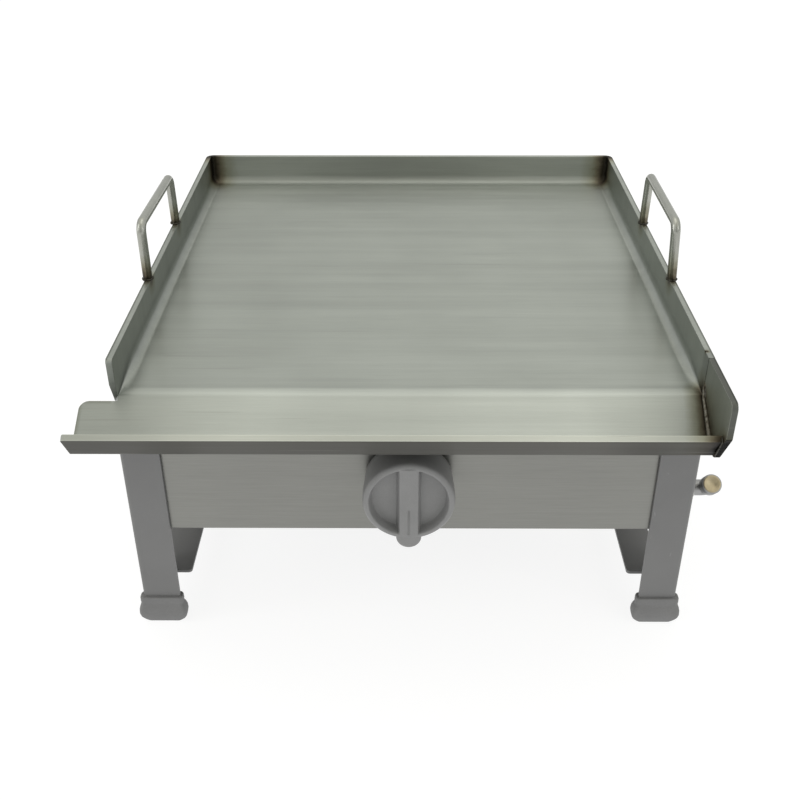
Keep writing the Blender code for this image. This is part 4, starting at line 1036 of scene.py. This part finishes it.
def build_knob():
    """The knob's moulded body, and the round lug at the lower end of its grip."""
    steps = 320
    radii = [KNOB_RADIUS * (i / 84) for i in range(1, 85)]
    rings = []
    for radius in reversed(radii):
        ring = []
        for i in range(steps):
            angle = math.tau * i / steps
            x, up = radius * math.cos(angle), radius * math.sin(angle)
            ring.append((x, up, knob_front(x, up, radius)))
        rings.append(ring)
    skirt = ((0.012, 0.0), (KNOB_RADIUS - 0.0020, 0.0), (KNOB_RADIUS - 0.0012, 0.0006),
             (KNOB_RADIUS - 0.0006, 0.010), (KNOB_RADIUS, 0.020))
    turns = [math.tau * i / steps for i in range(steps)]
    foot = [[(r * math.cos(turn), r * math.sin(turn), z) for turn in turns] for r, z in skirt]
    body = closed_piece("knob_body", lofted(foot + rings))
    place = Matrix.Translation(KNOB_MIDDLE) @ Matrix.Rotation(math.pi / 2, 4, "X")
    body.data.transform(place)
    show(body, PLASTIC, "knob", "knob_plastic", "knob")
    depth = KNOB_DEPTH - 0.0125
    profile = [(0.0, depth)] + arc((LUG_RADIUS - LUG_EDGE, depth - LUG_EDGE), LUG_EDGE, 90, 0, 8)
    profile += [(LUG_RADIUS, 0.0), (0.0, 0.0)]
    lug = closed_piece("knob_lug", turned(profile))
    lug.data.transform(Matrix.Translation(KNOB_MIDDLE + Vector((0.0, -0.0115, -LUG_DROP)))
                       @ Matrix.Rotation(math.pi / 2, 4, "X"))
    show(lug, PLASTIC, "knob", "knob_plastic")


def build_inlet():
    """Grey elbow with a rolled collar, and its brass hose end."""
    mount = next(m for m in frame["record"]["mounts"] if m["name"] == "gas_hose_end")
    face = Vector(mount["pos_m"])
    slant = Vector(mount["axis"])
    reach = 0.0195
    corner = face - slant * reach
    radius = 0.00675
    end_radius = 0.00825
    start = Vector((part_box("inlet_elbow")[0].x, corner.y, corner.z))
    route = smooth_path([start, corner, corner + slant * (reach - 0.007)], 0.006, 14)
    show(bar_curve("elbow_body", route, radius, 12), DULL, "stand", "elbow_steel", "inlet_elbow")
    turn = slant.to_track_quat("Z", "Y").to_matrix().to_4x4()
    place = Matrix.Translation(face) @ turn
    sleeve = [(0.0, -0.0010), (end_radius - 0.0008, -0.0010), (end_radius, -0.0016), (end_radius, -0.0100),
              (end_radius - 0.0006, -0.0110), (radius, -0.0125), (0.0, -0.0125)]
    collar = closed_piece("elbow_collar", turned(sleeve))
    collar.matrix_world = place
    show(collar, DULL, "stand", "elbow_steel")
    rim = end_radius - 0.0010
    brass = [(0.0, -0.0006), (0.0030, -0.0006), (0.0036, -0.0002), (rim - 0.0016, -0.0002),
             (rim - 0.0010, 0.0), (rim - 0.0003, -0.0001), (rim, -0.0005), (rim, -0.0060), (0.0, -0.0060)]
    plug = closed_piece("brass_hose_end", turned(brass))
    plug.matrix_world = place
    show(plug, BRASS, "stand", "brass", "inlet_hose_end")


def build_small_parts():
    for node in ("inlet_lock_nut", "stem_collar", "valve_stem", "knob_bezel", "air_shutter",
                 "burner_crossbar_front", "burner_crossbar_rear"):
        refined(node, ZINC, 0.0002)
    for node in ("valve_body", "injector", "pipe_nut"):
        refined(node, BRASS, 0.0002)
    refined("gas_pipe", BRASS, 0.0)
    for node in ("burner", "mixing_tube"):
        refined(node, IRON, 0.0)
    refined("igniter_electrode", CERAMIC, 0.0002)
    refined("igniter_lead", SLEEVE, 0.0)


# ---------------------------------------------------------------- stage

def build_stage():
    bm = bmesh.new()
    bmesh.ops.create_grid(bm, x_segments=1, y_segments=1, size=14.0)
    floor = mesh_piece("studio_floor", bm, smooth=False)
    t = Tree("studio_floor_paint")
    t.shade(Base_Color=(0.20, 0.20, 0.20), Roughness=0.9, Emission_Color=(1.0, 1.0, 1.0),
            Emission_Strength=0.86)
    t.put(t.shader.inputs["Specular IOR Level"], 0.0)
    floor.data.materials.append(t.material)


def build_sky():
    """A studio dome, cooler at mid height, warmer overhead and dimmer in the middle of its front."""
    world = bpy.data.worlds.new("studio")
    t = Tree.of_world(world)
    place = t.add("ShaderNodeTexCoord", {}, "Generated")
    across = t.math("ABSOLUTE", t.add("ShaderNodeSeparateXYZ", {0: place}, 0))
    ahead = t.add("ShaderNodeSeparateXYZ", {0: place}, 1)
    height = t.add("ShaderNodeSeparateXYZ", {0: place}, 2)
    dome = t.ramp(height, SKY_HEIGHTS)
    front = t.math("MULTIPLY", t.span(ahead, -0.7, 0.1, 1.0, 0.0), t.span(across, 0.0, 0.26, 1.0, 0.0))
    t.put(t.shader.inputs["Color"], t.mix(front, dome, t.mix(1.0, dome, SKY_FRONT, "MULTIPLY")))
    bpy.context.scene.world = world


def build_lights():
    for name, place, aim, size, power in SOFTBOXES:
        lamp = bpy.data.lights.new(name, "AREA")
        lamp.shape = "RECTANGLE"
        lamp.size, lamp.size_y = size
        lamp.energy = power
        light = link(bpy.data.objects.new(name, lamp))
        light.location = place
        light.rotation_euler = (Vector(place) - Vector(aim)).to_track_quat("Z", "Y").to_euler()


def build_camera():
    data = bpy.data.cameras.new("camera")
    data.lens = CAMERA_LENS
    camera = link(bpy.data.objects.new("camera", data))
    turn = Matrix.Rotation(math.radians(CAMERA_TURN), 4, "Z")
    pitch = Matrix.Rotation(math.radians(90 - CAMERA_PITCH), 4, "X")
    roll = Matrix.Rotation(math.radians(CAMERA_ROLL), 4, "Z")
    camera.matrix_world = Matrix.Translation(CAMERA_PLACE) @ turn @ pitch @ roll
    bpy.context.scene.camera = camera
    bpy.context.scene.view_settings.view_transform = "Standard"


build_camera()
build_sky()
build_lights()
build_stage()
build_griddle()
build_end_plate()
build_handles()
build_seam_beads()
build_frame_parts()
build_feet()
build_fasteners()
build_knob()
build_inlet()
build_small_parts()
